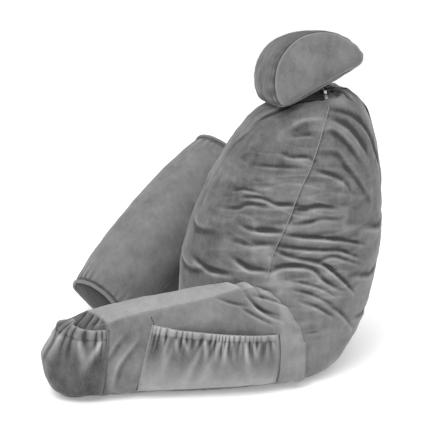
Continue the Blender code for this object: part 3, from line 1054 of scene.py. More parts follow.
@dataclass
class Arm:
    """A stuffed arm with its light top strip and sewn panels."""

    end: str
    sign: float
    filling: Filling = field(
        default_factory=lambda: Filling(0.0054, 14, 0.0022, 0.006, growth=0.02, base_tone=-0.38)
    )
    lump_size: Vector = field(default_factory=lambda: Vector((0.060, 0.080, 0.060)))
    lump_height: float = 0.0014
    middle: float = 0.258           # how far the middle of the arm lies from the middle of the pillow
    seam_radius: float = 0.0010
    seam_sink: float = 0.0001
    strip_seam_sink: float = 0.0006
    # painted light on the up-facing top strip and the rear panel, and painted shade on the tip's dome, the
    # arm's front and its joint with the back
    strip_painted_light: float = 0.80
    dome_painted_shade: float = -0.55
    rear_painted_light: float = 0.38
    front_painted_shade: float = -0.10
    joint_painted_shade: float = -1.10
    tip_draw: float = 0.14          # how much the elastic draws the tip's top corners in
    tip_blunt: float = 0.62         # and how much it blunts the top of the tip
    rear_lift: float = 0.012        # how far the rounded rear of the underside stands off the floor
    rear_draw: float = 0.013        # how far the rear panel is drawn in to the back
    rear_rise: float = 0.011        # how far the rear of the top is pushed up

    def side(self) -> Side:
        """The outer side of this arm."""
        return Side.NEAR if self.sign > 0 else Side.FAR

    def build(self, finishes: Finishes) -> FilledCover:
        """Stuff the arm, fold its cover and sew its seams.

        Args:
            finishes: the materials by name.

        Returns:
            The finished cover.
        """
        cover = FilledCover(f"arm_{self.end}", self.filling)
        self.draw_in(cover)
        cover.lumps(self.lump_size, self.lump_height, 11.0 + self.sign)
        surface = cover.surface()
        mirrored = self.sign < 0
        folds = folds_on(self.side(), ARM_SIDE_FOLDS, surface)
        folds += folds_on(Side.TOP, ARM_TOP_FOLDS + ARM_DOME_FOLDS, surface, mirrored)
        cover.press_folds(folds)
        self.paint_arm_light_and_shade(cover)
        self.sew(cover.surface(), finishes)
        cover.dress(finishes["velvet"])
        return cover

    def draw_in(self, cover: FilledCover) -> None:
        """Narrow the top of the tip, where the elastic holds it, and flatten the rear on to the back."""
        points = points_of(cover.piece)
        high = ease(points[:, 2], 0.085, 0.060)
        share = self.tip_draw * ease(-points[:, 1], 0.225, 0.085) * high
        points[:, 0] += (self.sign * self.middle - points[:, 0]) * share
        points[:, 1] += self.tip_blunt * np.maximum(-0.292 - points[:, 1], 0.0) * high
        outer = ramp(self.sign * points[:, 0], 0.245, 0.030)
        points[:, 0] -= self.sign * self.rear_draw * ease(points[:, 1], 0.070, 0.120) * outer
        above = ramp(points[:, 2], 0.130, 0.070)
        points[:, 2] += self.rear_rise * above * bell(points[:, 1], 0.085, 0.075)
        low = np.clip(1.0 - points[:, 2] / 0.060, 0.0, 1.0)
        points[:, 2] += self.rear_lift * low * ramp(points[:, 1], 0.020, 0.150)
        move_points(cover.piece, points)

    def paint_arm_light_and_shade(self, cover: FilledCover) -> None:
        """Painted light on the up-facing top strip and rear panel; painted shade on the dome, the front and
        the joint with the back.
        """
        points = points_of(cover.piece)
        across, depth, height = self.sign * points[:, 0], points[:, 1], points[:, 2]
        seam, front = np.array(STRIP_OUTER_SEAM), np.array(STRIP_FRONT_SEAM)
        inside = below(across, np.interp(depth, seam[:, 1], seam[:, 0]), SEAM_BLUR)
        on_strip = inside * np.clip(normals_of(cover.piece)[:, 2] * 2.0, 0.0, 1.0)
        ahead = below(depth, np.interp(across, front[:, 0], front[:, 1]), SEAM_BLUR)
        rear = below(-depth, -0.138, SEAM_BLUR) * (1.0 - on_strip)
        # painted light on the strip and painted shade on the dome
        cover.tone += self.strip_painted_light * on_strip * (1.0 - ahead) + self.dome_painted_shade * ahead
        shaded = bell(depth, -0.165, 0.040) * ramp(height, 0.085, 0.05)
        # painted light on the rear panel and painted shade on the arm's front
        cover.tone += self.rear_painted_light * rear + self.front_painted_shade * shaded * (1.0 - on_strip)
        # painted shade where the arm meets the back
        cover.tone += self.joint_painted_shade * bell(depth, 0.200, 0.0055)

    def sew(self, surface: BVHTree, finishes: Finishes) -> None:
        """Lay the folded edges of the arm's seams on it."""
        mirrored = self.sign < 0
        lines = {
            "strip_outer": SurfaceLine.laid(Side.TOP, STRIP_OUTER_SEAM, surface, mirrored),
            "strip_inner": SurfaceLine.laid(Side.TOP, STRIP_INNER_SEAM, surface, mirrored),
            "strip_front": SurfaceLine.laid(Side.TOP, STRIP_FRONT_SEAM, surface, mirrored),
            "panel": SurfaceLine.laid(self.side(), PANEL_SEAM, surface),
            "pocket_rear": SurfaceLine.laid(self.side(), POCKET_REAR_SEAM, surface),
            "tip": SurfaceLine.laid(self.side(), TIP_SEAM, surface),
        }
        for label, line in lines.items():
            name = f"arm_{label}_seam_{self.end}"
            on_strip = label.startswith("strip")
            sink = self.strip_seam_sink if on_strip else self.seam_sink
            edge = cord_along(name, line.points - sink * line.normals, self.seam_radius)
            finish_piece(edge, finishes["piping" if on_strip else "seam"])


# ---------------------------------------------------------------------------------------------------
# The half-round cushions


@dataclass
class HalfCushion:
    """A half-round cushion that lies along X on its flat side before it is turned into place."""

    node: str
    length: float
    chord: float
    depth: float
    place: Matrix
    filling: Filling
    seam_station: float         # how far its end seams lie from its ends
    seam_depth: float
    seam_width: float
    gather_height: float
    gather_reach: float
    gathers: int

    def local(self, points: np.ndarray) -> np.ndarray:
        """Points in the cushion's own frame."""
        turned = np.array(self.place.inverted())
        return points @ turned[:3, :3].T + turned[:3, 3]

    def past_end(self, local: np.ndarray) -> np.ndarray:
        """How far each point lies past the nearer end, which is below 0 on the cushion."""
        return np.abs(local[:, 0]) - 0.5 * self.length

    def seam_ends(self, cover: FilledCover) -> None:
        """Draw the cover in at both end seams and gather it beside them, with painted highlight and shade on
        the gathers and painted shade in the seam's groove.
        """
        local = self.local(points_of(cover.piece))
        from_seam = -self.past_end(local) - self.seam_station
        turn = np.arctan2(local[:, 2] - 0.35 * self.depth, local[:, 1])
        groove = bell(from_seam, 0.0, self.seam_width)
        band = ramp(from_seam, 0.0, 0.006)
        waves = np.sin(self.gathers * turn + 2.2 * np.sin(3.0 * turn + np.sign(local[:, 0])))
        uneven = 0.55 + 0.45 * np.sin(2.0 * turn + 1.3)
        gathers = band * np.exp(-np.maximum(from_seam, 0.0) / self.gather_reach) * waves * uneven
        cover.push(self.gather_height * gathers - self.seam_depth * groove)
        # painted highlight and shade on the gathers, painted shade in the groove
        cover.tone += self.gather_height / GATHER_RELIEF * gathers - 0.55 * groove

    def outline(self, surface: BVHTree, station: float, lift: float) -> np.ndarray:
        """The cushion's outline at one station along it, as points on its cover."""
        middle = Vector((station, 0.0, 0.40 * self.depth))
        points = []
        for i in range(160):
            turn = math.tau * i / 160
            outward = Vector((0.0, math.cos(turn), math.sin(turn)))
            start = self.place @ (middle + outward)
            toward = self.place.to_3x3() @ -outward
            hit, normal = surface.ray_cast(start, toward)[:2]
            if hit is not None:
                points.append(np.array(hit) + lift * np.array(normal))
        return np.array(points)


def neck_cushion() -> HalfCushion:
    """The neck cushion's sizes and place."""
    turn = Matrix.Rotation(math.radians(6.0), 4, "Z") @ Matrix.Rotation(math.radians(-2.3), 4, "Y")
    place = Matrix.Translation((0.0, 0.212, 0.621)) @ turn @ Matrix.Rotation(math.radians(29.0), 4, "X")
    filling = Filling(0.0046, 4, 0.0004, 0.0035, fullness=0.9, base_tone=-0.45)
    return HalfCushion("neck_cushion", 0.340, 0.209, 0.113, place, filling, seam_station=0.0105,
                       seam_depth=0.0012, seam_width=0.0019, gather_height=0.0006, gather_reach=0.050,
                       gathers=26)


def bolster_cushion() -> HalfCushion:
    """The bolster's sizes and place."""
    along = Vector((-0.520, 0.580, 0.627)).normalized()
    down = Vector((0.410, 0.814, -0.413))
    down = (down - down.dot(along) * along).normalized()
    turned = Matrix((along, -down, down.cross(along))).transposed()
    place = Matrix.Translation(Vector((-0.088, -0.285, 0.060)) + 0.260 * along) @ turned.to_4x4()
    filling = Filling(0.0050, 6, 0.0010, 0.005, fullness=0.85, base_tone=-0.28)
    return HalfCushion("bolster", 0.520, 0.190, 0.094, place, filling, seam_station=0.011,
                       seam_depth=0.0024, seam_width=0.0030, gather_height=0.0020, gather_reach=0.020,
                       gathers=22)


@dataclass
class Bolster:
    """The loose bolster with piped ends."""

    cushion: HalfCushion = field(default_factory=bolster_cushion)
    piping_radius: float = 0.0042
    piping_inset: float = 0.004
    piping_lift: float = 0.0036
    foot_slant: tuple[float, float] = (-0.024, 0.010)       # how far its foot is slanted, flat side and crown
    foot_bulge: float = 0.019       # how far the flat side bulges at the foot

    def build(self, finishes: Finishes) -> FilledCover:
        """Stuff the bolster and sew its piping on."""
        cover = FilledCover(self.cushion.node, self.cushion.filling)
        cover.lumps(Vector((0.07, 0.07, 0.07)), 0.0015, 21.0)
        self.cushion.seam_ends(cover)
        surface = cover.surface()
        self.slant_foot(cover)
        for end in End:
            station = end.value * (0.5 * self.cushion.length - self.piping_inset)
            points = self.slanted(self.cushion.outline(surface, station, self.piping_lift))
            name = end.name.lower()
            piping = cord_along(f"bolster_piping_cord_{name}", points, self.piping_radius, closed=True)
            finish_piece(piping, finishes["piping"])
            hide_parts(f"bolster_piping_{name}")
        cover.dress(finishes["velvet"])
        return cover

    def slanted(self, points: np.ndarray) -> np.ndarray:
        """Points of the bolster once its foot is slanted, as the photograph shows it."""
        local = self.cushion.local(points)
        near_foot = ease(-local[:, 0], 0.5 * self.cushion.length - 0.090, 0.090)
        up = ramp(local[:, 2], 0.0, self.cushion.depth)
        along_chord = np.clip(0.5 - local[:, 1] / self.cushion.chord, 0.0, 1.0)
        flat, crown = self.foot_slant
        lengthwise = near_foot * (flat * (1.0 - up) * along_chord + crown * up)
        bulge = near_foot * self.foot_bulge * (1.0 - up) * np.sin(math.pi * along_chord)
        axes = np.array(self.cushion.place.to_3x3())
        return points + lengthwise[:, None] * axes[:, 0] - bulge[:, None] * axes[:, 2]

    def slant_foot(self, cover: FilledCover) -> None:
        """Slant the foot of the cover, and paint shade on both ends."""
        points = points_of(cover.piece)
        beyond = self.cushion.past_end(self.cushion.local(points)) + 0.0035
        # painted shade on both ends
        cover.tone -= 1.4 * below(-beyond, 0.0, 0.0012)
        move_points(cover.piece, self.slanted(points))


@dataclass
class NeckCushion:
    """The neck cushion that rests on top of the back."""

    cushion: HalfCushion = field(default_factory=neck_cushion)

    def build(self, finishes: Finishes) -> FilledCover:
        """Stuff the neck cushion and seam its two D-shaped ends."""
        cover = FilledCover(self.cushion.node, self.cushion.filling)
        cover.lumps(Vector((0.08, 0.08, 0.08)), 0.0010, 31.0)
        self.cushion.seam_ends(cover)
        self.shade(cover)
        cover.dress(finishes["velvet"])
        return cover

    def shade(self, cover: FilledCover) -> None:
        """The band is darker than the two ends, a little more where it faces up, and the rim of each end gets
        a painted highlight.
        """
        local = self.cushion.local(points_of(cover.piece))
        past_end = self.cushion.past_end(local)
        normals = normals_of(cover.piece)
        band = ramp(-past_end, 0.0095, 0.004) * ramp(local[:, 2], 0.004, 0.012)
        cover.tone -= band * (0.55 + 0.05 * np.clip(normals[:, 2] + 0.3, 0.0, 1.0))
        # painted highlight along the rim of each end
        cover.tone += 0.45 * bell(past_end, -0.0055, 0.0030)


# ---------------------------------------------------------------------------------------------------
# Gathered pockets and the strap


@dataclass(frozen=True)
class Gather:
    """One fold of a gathered pocket, from its hem downwards, in shares of the pocket's size."""

    hem_at: float
    foot_at: float
    foot_height: float
    lift: float
    width: float

    def out(self, u: np.ndarray, v: np.ndarray, hem: float) -> np.ndarray:
        """How far the fold stands out at each point."""
        down = np.clip((hem - v) / max(hem - self.foot_height, 1e-6), 0.0, 1.5)
        centre = self.hem_at + (self.foot_at - self.hem_at) * down
        fade = np.exp(-((down / 0.75) ** 2.4))
        return self.lift * fade * bell(u, centre, self.width * (1.0 + 1.3 * down))


def rise(v: np.ndarray, reach: float) -> np.ndarray:
    """How a pocket's cloth leaves its sewn foot, from 0 there to 1 at the reach."""
    return np.sin(0.5 * math.pi * np.minimum(1.0, v / reach)) ** 0.8


@dataclass
class Pocket:
    """A pocket sewn at its sides and foot, with an elastic hem at its top."""

    name: str
    node: str
    steps: tuple[int, int]
    cut: tuple[float, float]
    gathers: list[Gather]
    hem_height: float           # share of the pocket's height that is hem
    ruffles: int                # how many small pleats the elastic makes in the hem
    ruffle_height: float
    sign: float                 # 1 on the near arm and -1 on the far one
    hem_bulge: float = 0.0016
    base_tone: float = 0.0
    hang_painted_shade: float = 0.0      # painted shade under the hem, lighter towards the foot
    foot_tuck: float = 0.0065
    return_depth: float = 0.0050
    return_height: float = 0.008
    return_rows: int = 4

    def room(self, u: np.ndarray, v: np.ndarray) -> np.ndarray:
        """How far the cloth stands off the arm before it is gathered."""
        raise NotImplementedError

    def base(self, u: float, v: float, surface: BVHTree) -> tuple[Vector, Vector]:
        """The point of the arm that lies behind (u, v), and the direction out of it."""
        raise NotImplementedError

    def out(self, u: np.ndarray, v: np.ndarray) -> tuple[np.ndarray, np.ndarray]:
        """How far the gathered cloth stands off the arm, and its tone with painted highlight and shade."""
        hem_foot = 1.0 - self.hem_height
        sewn = ramp(np.minimum(u, 1.0 - u), 0.0, 0.03)
        under_hem = below(v, hem_foot, 0.012)
        folds = under_hem * sum(gather.out(u, v, hem_foot) for gather in self.gathers)
        phase = 2.0 * math.pi * (self.ruffles * u + 0.9 * np.sin(9.0 * u + 0.5) + 0.5 * np.sin(23.0 * u))
        pleats = (2.0 * np.abs(np.sin(0.5 * phase)) ** 0.7 - 1.0) * (0.75 + 0.25 * np.sin(13.0 * u))
        in_hem = ramp(v, hem_foot, self.hem_height)
        casing = np.sin(math.pi * in_hem) ** 0.6 * (v >= hem_foot)
        line = bell(v, hem_foot, 0.014)
        pleated = pleats * bell(v, 1.0, 2.2 * self.hem_height) * (1.0 - 0.35 * in_hem)
        gathered = folds + self.ruffle_height * pleated + self.hem_bulge * casing - 0.0012 * line
        # painted highlight and shade on the folds and pleats, painted shade along the foot of the hem
        tone = (folds - 0.0014) / TONE_RELIEF * 1.05 + 1.1 * pleated - 0.5 * line
        # painted highlight along the top of the hem, and painted shade under the hem that lightens towards
        # the foot
        tone += 0.8 * bell(v, 1.0, 0.02) + self.hang_painted_shade * (0.45 - v) * under_hem
        tucked = self.foot_tuck * bell(v, 0.0, 0.035)
        return self.room(u, v) + sewn * gathered - tucked, self.base_tone + sewn * tone

    def build(
        self, surface: BVHTree, rests_on: str, finishes: Finishes
    ) -> bpy.types.Object:
        """Make the pocket on its arm.

        Args:
            surface: the arm's finished cover.
            rests_on: the arm's name; not used.
            finishes: the materials by name.

        Returns:
            The pocket.
        """
        across, up = self.steps
        rows = up + 1 + self.return_rows
        points, tones = [], []
        v_all = np.linspace(0.0, 1.0, up + 1)
        for i in range(across + 1):
            u = i / across
            out, tone = self.out(np.full(up + 1, u), v_all)
            for v, stand, shade in zip(v_all, out, tone):
                hit, outward = self.base(u, v, surface)
                points.append(np.array(hit + float(stand) * outward))
                tones.append(shade)
            top = points[-1]
            depth = min(self.return_depth, 0.7 * max(out[-1] - CLOTH, 0.0))
            for k in range(1, self.return_rows + 1):
                share = k / self.return_rows
                inward = depth * math.sin(0.5 * math.pi * share)
                drop = self.return_height * share**2 - 0.0008 * math.sin(math.pi * share)
                points.append(top - inward * np.array(outward) - np.array((0.0, 0.0, drop)))
                # painted shade on the turned-in hem
                tones.append(-0.3 * share)
        piece = piece_from(self.name, np.array(points), grid_faces(across + 1, rows))
        if self.sign < 0:
            piece.data.flip_normals()
        set_tone(piece, np.array(tones))
        thicken(piece, CLOTH)
        finish_piece(piece, finishes["velvet"])
        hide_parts(self.node)
        return piece


@dataclass
class SidePocket(Pocket):
    """The patch pocket on an arm's outer side. Its corners are depth and height."""

    front_foot: tuple[float, float] = (-0.156, 0.011)
    front_top: tuple[float, float] = (-0.120, 0.163)
    rear_foot: tuple[float, float] = (0.132, 0.017)
    rear_top: tuple[float, float] = (0.133, 0.135)

    def room(self, u: np.ndarray, v: np.ndarray) -> np.ndarray:
        """How far the cloth stands off the arm before it is gathered."""
        full = np.sin(math.pi * u) ** 0.5
        return 0.0014 + full * rise(v, 0.55) * (0.014 + 0.001 * v)

    def base(self, u: float, v: float, surface: BVHTree) -> tuple[Vector, Vector]:
        """The point of the arm that lies behind (u, v), and the direction out of it."""
        front = Vector(self.front_foot).lerp(Vector(self.front_top), v)
        rear = Vector(self.rear_foot).lerp(Vector(self.rear_top), v)
        depth, height = front.lerp(rear, u)
        outward = Vector((self.sign, 0.0, 0.0))
        hit = surface.ray_cast(Vector((self.sign, depth, height)), -outward)[0]
        return hit, outward


@dataclass
class EndPocket(Pocket):
    """The pocket that wraps an arm's tip."""

    axis: tuple[float, float] = (0.260, -0.240)
    foot_turn: tuple[float, float] = (-12.0, 192.0)
    top_turn: tuple[float, float] = (-25.0, 205.0)
    heights: tuple[float, float] = (0.012, 0.156)
    dip: float = 0.003
    corner_at: float = 0.34         # where the slack hem stands out and up at the outer front corner
    corner_rise: float = 0.0105
    corner_room: float = 0.006
    inner_drop: float = 0.016       # how much lower the hem is on the side that faces the sitter

    def room(self, u: np.ndarray, v: np.ndarray) -> np.ndarray:
        """How far the cloth stands off the arm before it is gathered."""
        full = np.sin(math.pi * u) ** (0.5 + 0.3 * v)
        corner = self.corner_room * v**2 * bell(u, self.corner_at, 0.10)
        slack = (0.011 + 0.012 * v**3) * (1.0 - 0.55 * v * self.inner(u))
        return 0.0014 + full * rise(v, 0.40) * slack + corner

    def inner(self, u: np.ndarray) -> np.ndarray:
        """How far a place round the pocket belongs to the side that faces the sitter, from 0 to 1."""
        return ease(u, 0.42, 0.25)

    def base(self, u: float, v: float, surface: BVHTree) -> tuple[Vector, Vector]:
        """The point of the arm that lies behind (u, v), and the direction out of it."""
        foot = self.foot_turn[0] + (self.foot_turn[1] - self.foot_turn[0]) * u
        top = self.top_turn[0] + (self.top_turn[1] - self.top_turn[0]) * u
        turn = math.radians(foot + (top - foot) * v)
        outward = Vector((self.sign * math.cos(turn), -math.sin(turn), 0.0))
        low, high = self.heights
        lift = self.corner_rise * bell(u, self.corner_at, 0.12) - self.dip * math.sin(math.pi * u) ** 4
        height = low + v * (high - low + lift - self.inner_drop * self.inner(u))
        middle = Vector((self.sign * self.axis[0], self.axis[1], height))
        hit = surface.ray_cast(middle + outward, -outward)[0]
        return hit, outward


def side_gathers(seed: int) -> list[Gather]:
    """The uneven hanging folds of a side pocket."""
    chance = np.random.default_rng(seed)
    gathers = []
    for hem_at in np.linspace(0.10, 0.97, 17):
        hem_at += chance.uniform(-0.012, 0.012)
        lean = chance.uniform(-0.04, 0.05)
        foot_height = chance.uniform(0.42, 0.74)
        lift = chance.uniform(0.0035, 0.0062)
        gathers.append(Gather(hem_at, hem_at + lean, foot_height, lift, 0.011))
    long = [
        Gather(0.425, 0.300, 0.05, 0.0034, 0.016),
        Gather(0.540, 0.440, 0.12, 0.0030, 0.017),
        Gather(0.560, 0.660, 0.30, 0.0030, 0.014),
        Gather(0.740, 0.800, 0.30, 0.0026, 0.016),
        Gather(0.215, 0.120, 0.25, 0.0026, 0.018),
    ]
    return gathers + long


def end_gathers(seed: int) -> list[Gather]:
    """The folds of an end pocket, with the slack V below its hem on the outer side."""
    chance = np.random.default_rng(seed)
    gathers = [
        Gather(0.045, 0.120, 0.50, 0.0065, 0.012),
        Gather(0.165, 0.125, 0.50, 0.0065, 0.013),
        Gather(0.290, 0.335, 0.45, 0.0060, 0.012),
        Gather(0.385, 0.395, 0.05, 0.0065, 0.009),
        Gather(0.425, 0.440, 0.05, 0.0075, 0.009),
        Gather(0.470, 0.485, 0.05, 0.0075, 0.010),
    ]
    for hem_at in np.linspace(0.55, 0.95, 7):
        foot_height = chance.uniform(0.3, 0.7)
        gathers.append(Gather(hem_at, hem_at + chance.uniform(-0.03, 0.03), foot_height, 0.0035, 0.015))
    return gathers


@dataclass
class Strap:
    """The flat strap from under the neck cushion over the rear of the back."""

    node: str = "neck_strap"
    width: float = 0.044
    across: int = 12
    stand_off: float = 0.0022
    crumple: float = 0.0016
    under_cushion: tuple[float, ...] = (-0.016, 0.0, 0.016)
    on_top: tuple[float, ...] = (0.268, 0.284, 0.298)
    on_rear: tuple[float, ...] = (0.575, 0.555, 0.530, 0.505)

    def line_at(self, x: float, cushion: HalfCushion, neck: BVHTree, back: BVHTree) -> np.ndarray:
        """The strap's line at one distance across, as close samples."""
        points = []
        upward = cushion.place.to_3x3() @ Vector((0.0, 0.0, 1.0))
        for along in self.under_cushion:
            start = cushion.place @ Vector((x, along, -cushion.depth))
            hit = neck.ray_cast(start, upward)[0]
            points.append(tuple(hit - self.stand_off * upward))
        for depth in self.on_top:
            hit = back.ray_cast(Vector((x, depth, 1.0)), Vector((0.0, 0.0, -1.0)))[0]
            points.append((hit.x, hit.y, hit.z + self.stand_off))
        for height in self.on_rear:
            hit = back.ray_cast(Vector((x, 1.0, height)), Vector((0.0, -1.0, 0.0)))[0]
            points.append((hit.x, hit.y + self.stand_off, hit.z))
        return smooth_line(tuple(points), 0.005)

    def build(self, cushion: HalfCushion, neck: BVHTree, back: BVHTree,
              finishes: Finishes) -> bpy.types.Object:
        """Lay the strap on the cushion's underside and down the back.

        Args:
            cushion: the neck cushion's sizes.
            neck: the neck cushion's surface.
            back: the backrest's surface.
            finishes: the materials by name.

        Returns:
            The strap.
        """
        lines = [self.line_at(x, cushion, neck, back)
                 for x in np.linspace(-0.5, 0.5, self.across + 1) * self.width]
        count = min(len(line) for line in lines)
        even = [line[np.linspace(0, len(line) - 1, count).round().astype(int)] for line in lines]
        points = np.vstack(even)
        wave = turbulence(points, Vector((0.014, 0.030, 0.030)), 5.0, 2)
        points[:, 2] += self.crumple * np.abs(wave)
        piece = piece_from("neck_strap_cloth", points, grid_faces(self.across + 1, count))
        set_tone(piece, 0.5 * wave + 0.2)
        thicken(piece, CLOTH)
        finish_piece(piece, finishes["velvet"])
        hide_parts(self.node)
        length = float(np.linalg.norm(np.diff(even[self.across // 2], axis=0), axis=1).sum())
        LOG.info("neck strap: %.0f mm long", 1000 * length)
        return piece


@dataclass
class Zip:
    """The zip across the top of the back: woven tape, teeth, slider and pull."""

    tooth_size: tuple[float, float, float] = (0.0011, 0.0042, 0.0012)
    tooth_pitch: float = 0.0024
    half_length: float = 0.118
    depth: float = 0.236
    pull_size: tuple[float, float, float] = (0.0175, 0.0072, 0.0012)
    pull_drop: float = 0.014        # how far below its hinge the pull comes to rest on the back

    def build(self, back: BVHTree, finishes: Finishes) -> None:
        """Soften the tape, set its teeth, and model the slider and the pull.

        Args:
            back: the backrest's surface.
            finishes: the materials by name.
        """
        tape = merged_copy("zip_tape", "zip_tape_cloth")
        bpy.ops.object.mode_set(mode="EDIT")
        bpy.ops.mesh.select_all(action="SELECT")
        bpy.ops.mesh.tris_convert_to_quads()
        bpy.ops.object.mode_set(mode="OBJECT")
        self.round_off(tape)
        teeth = self.teeth(surface_of(tape))
        finish_piece(tape, finishes["tape"])
        finish_piece(teeth, finishes["nickel"])
        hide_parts("zip_tape")
        for name, piece in (("zip_slider", self.slider()), ("zip_pull", self.pull(back))):
            finish_piece(piece, finishes["nickel"])
            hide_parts(name)

    def slider(self) -> bpy.types.Object:
        """The slider's body, waisted between its two plates, with the bridge that holds the pull."""
        low, high = (Vector(corner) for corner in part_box("zip_slider"))
        size = high - low
        bpy.ops.object.select_all(action="DESELECT")
        bpy.ops.mesh.primitive_cube_add(size=1.0)
        body = bpy.context.active_object
        body.name = "zip_slider_body"
        bpy.ops.object.mode_set(mode="EDIT")
        bpy.ops.mesh.select_all(action="SELECT")
        bpy.ops.transform.resize(value=size)
        bpy.ops.mesh.subdivide(number_cuts=3)
        bpy.ops.object.mode_set(mode="OBJECT")
        points = points_of(body)
        waist = 1.0 - 0.28 * np.exp(-((points[:, 2] / (0.22 * size.z)) ** 2))
        points[:, 1] *= waist * (1.0 - 0.35 * np.clip(points[:, 0] / size.x, 0.0, 0.5))
        bridge = (np.abs(points[:, 1]) < 0.2 * size.y) & (points[:, 2] > 0.4 * size.z)
        points[bridge, 2] += 0.20 * size.z * np.cos(math.pi * points[bridge, 0] / size.x)
        move_points(body, points + np.array((low + high) / 2))
        self.round_off(body)
        return body

    def pull(self, back: BVHTree) -> bpy.types.Object:
        """The pull: a flat plate with a hole at its free end, hanging on to the back."""
        low, high = (Vector(corner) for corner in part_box("zip_pull"))
        hinge = Vector((low.x, (low.y + high.y) / 2, high.z))
        rest = hinge.z - self.pull_drop
        hit = back.ray_cast(Vector((1.0, hinge.y, rest)), Vector((-1.0, 0.0, 0.0)))[0]
        hang = Vector((max(hit.x + 0.0025 - hinge.x, 0.002), 0.0, -self.pull_drop))
        slope = math.atan2(-hang.z, hang.x)
        LOG.info("zip pull: hangs at %.0f degrees", math.degrees(slope))
        bpy.ops.object.select_all(action="DESELECT")
        bpy.ops.mesh.primitive_grid_add(x_subdivisions=7, y_subdivisions=3, size=1.0)
        plate = bpy.context.active_object
        plate.name = "zip_pull_plate"
        hole = [face.center.x > 0.2 and face.center.x < 0.4 and abs(face.center.y) < 0.1
                for face in plate.data.polygons]
        bpy.ops.object.mode_set(mode="EDIT")
        bpy.ops.mesh.select_mode(type="FACE")
        bpy.ops.mesh.select_all(action="DESELECT")
        bpy.ops.object.mode_set(mode="OBJECT")
        plate.data.polygons.foreach_set("select", hole)
        bpy.ops.object.mode_set(mode="EDIT")
        bpy.ops.mesh.delete(type="FACE")
        bpy.ops.mesh.select_all(action="SELECT")
        bpy.ops.transform.resize(value=(self.pull_size[0], self.pull_size[1], 1.0))
        bpy.ops.object.mode_set(mode="OBJECT")
        turn = Matrix.Rotation(slope, 4, "Y")
        middle = hinge + hang.normalized() * (self.pull_size[0] / 2)
        plate.data.transform(Matrix.Translation(middle) @ turn)
        thicken(plate, self.pull_size[2])
        self.round_off(plate)
        return plate

    def round_off(self, piece: bpy.types.Object) -> None:
        """Round a piece's edges."""
        subdivide(piece, 2)
        piece.data.shade_smooth()

    def teeth(self, surface: BVHTree) -> bpy.types.Object:
        """Model one tooth and copy it along the middle of the tape."""
        bpy.ops.object.select_all(action="DESELECT")
        bpy.ops.mesh.primitive_cube_add(size=1.0)
        first = bpy.context.active_object
        bpy.ops.object.mode_set(mode="EDIT")
        bpy.ops.mesh.select_all(action="SELECT")
        bpy.ops.transform.resize(value=self.tooth_size)
        bpy.ops.mesh.bevel(offset=0.0002, segments=1)
        bpy.ops.object.mode_set(mode="OBJECT")
        places = []
        for x in np.arange(-self.half_length, self.half_length, self.tooth_pitch):
            hit = surface.ray_cast(Vector((x, self.depth, 1.0)), Vector((0.0, 0.0, -1.0)))[0]
            if hit is not None:
                places.append((np.eye(3), np.array(hit)))
        return copies("zip_teeth", first, places)


# ---------------------------------------------------------------------------------------------------
# The studio


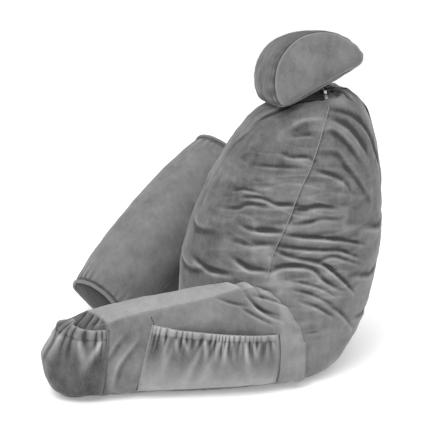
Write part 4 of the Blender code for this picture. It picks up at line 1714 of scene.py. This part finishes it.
@dataclass
class Studio:
    """The camera at the photograph's angle, soft lights and a pale floor."""

    eye: tuple[float, float, float] = (1.9997, 0.0349, 0.78)
    azimuth: float = 91.0
    pitch: float = 13.03
    focal_share: float = 886.0 / 430.0      # focal length as a share of the picture's width
    ambient: float = 0.60                   # the surround's light, as a share of how bright it looks
    floor_glow: float = 0.24                # the floor is a lit table, so that shadows on it stay faint

    def camera(self) -> None:
        """Place the camera where the photograph was taken from."""
        data = bpy.data.cameras.new("studio_camera")
        data.sensor_width = 36.0
        data.lens = 36.0 * self.focal_share
        data.clip_start, data.clip_end = 0.05, 50.0
        camera = bpy.data.objects.new("studio_camera", data)
        camera.location = self.eye
        camera.rotation_euler = (math.radians(90.0 - self.pitch), 0.0, math.radians(self.azimuth))
        bpy.context.scene.collection.objects.link(camera)
        bpy.context.scene.camera = camera

    def lamp(self, name: str, place: tuple[float, float, float], size: float, power: float) -> None:
        """Hang a soft square lamp that faces the middle of the pillow."""
        data = bpy.data.lights.new(name, "AREA")
        data.size = size
        data.energy = power
        lamp = bpy.data.objects.new(name, data)
        lamp.location = place
        toward = Vector((0.0, 0.05, 0.30)) - Vector(place)
        lamp.rotation_euler = toward.to_track_quat("-Z", "Y").to_euler()
        bpy.context.scene.collection.objects.link(lamp)

    def light(self) -> None:
        """Light the pillow softly from above, with a white surround."""
        self.lamp("side_softbox", (1.7, -0.5, 2.2), 1.0, 22.0)
        data = bpy.data.lights.new("overhead_scrim", "SUN")
        data.energy = 1.55
        data.angle = math.radians(70.0)
        sun = bpy.data.objects.new("overhead_scrim", data)
        sun.rotation_euler = Vector((-0.36, 0.05, -1.0)).to_track_quat("-Z", "Y").to_euler()
        bpy.context.scene.collection.objects.link(sun)
        world = bpy.data.worlds.new("pale_studio")
        world.use_nodes = True
        bench = NodeBench(world.node_tree)
        background = world.node_tree.nodes["Background"]
        seen = bench.add("ShaderNodeLightPath").outputs["Is Camera Ray"]
        bench.feed(background, "Color", (1.0, 1.0, 1.0, 1.0))
        strength = bench.maths("MULTIPLY_ADD", seen, 1.0 - self.ambient, self.ambient)
        bench.feed(background, "Strength", strength)
        bpy.context.scene.world = world
        bpy.context.scene.view_settings.view_transform = "Standard"

    def floor(self) -> None:
        """Lay the plain pale floor."""
        bpy.ops.object.select_all(action="DESELECT")
        bpy.ops.mesh.primitive_plane_add(size=14.0)
        floor = bpy.context.active_object
        floor.name = "studio_floor"
        material = bpy.data.materials.new("studio_white")
        material.use_nodes = True
        shader = material.node_tree.nodes["Principled BSDF"]
        shader.inputs["Base Color"].default_value = (0.97, 0.97, 0.97, 1.0)
        shader.inputs["Roughness"].default_value = 0.9
        shader.inputs["Emission Color"].default_value = (1.0, 1.0, 1.0, 1.0)
        shader.inputs["Emission Strength"].default_value = self.floor_glow
        floor.data.materials.append(material)


def main() -> None:
    """Build every piece of the pillow in its order."""
    logging.basicConfig(level=logging.INFO, format="%(message)s")
    studio = Studio()
    studio.camera()
    studio.light()
    studio.floor()
    groups = {"velvet_nap": nap_group(), "tape_weave": weave_group(), "metal_scuff": scuff_group()}
    finishes = {
        "velvet": VELVET.material(groups),
        "piping": PIPING_VELVET.material(groups),
        "seam": SEAM_VELVET.material(groups),
        "thread": THREAD.material(groups),
        "tape": ZIP_CLOTH.material(groups),
        "nickel": NICKEL.material(groups),
    }
    back = Backrest().build(finishes).surface()
    neck = NeckCushion()
    neck_surface = neck.build(finishes).surface()
    Bolster().build(finishes)
    for end, sign in (("near", 1.0), ("far", -1.0)):
        surface = Arm(end, sign).build(finishes).surface()
        for pocket in (
            SidePocket(f"side_pocket_{end}_cloth", f"side_pocket_{end}", (216, 46), (0.34, 0.17),
                       side_gathers(seed=5), 0.095, 24, 0.0030, sign, base_tone=0.02, hang_painted_shade=2.5),
            EndPocket(f"end_pocket_{end}_cloth", f"end_pocket_{end}", (216, 44), (0.42, 0.17),
                      end_gathers(seed=9), 0.110, 22, 0.0026, sign, base_tone=-0.60),
        ):
            pocket.build(surface, f"arm_{end}_cover", finishes)
    Strap().build(neck.cushion, neck_surface, back, finishes)
    Zip().build(back, finishes)


if __name__ == "__main__":
    main()
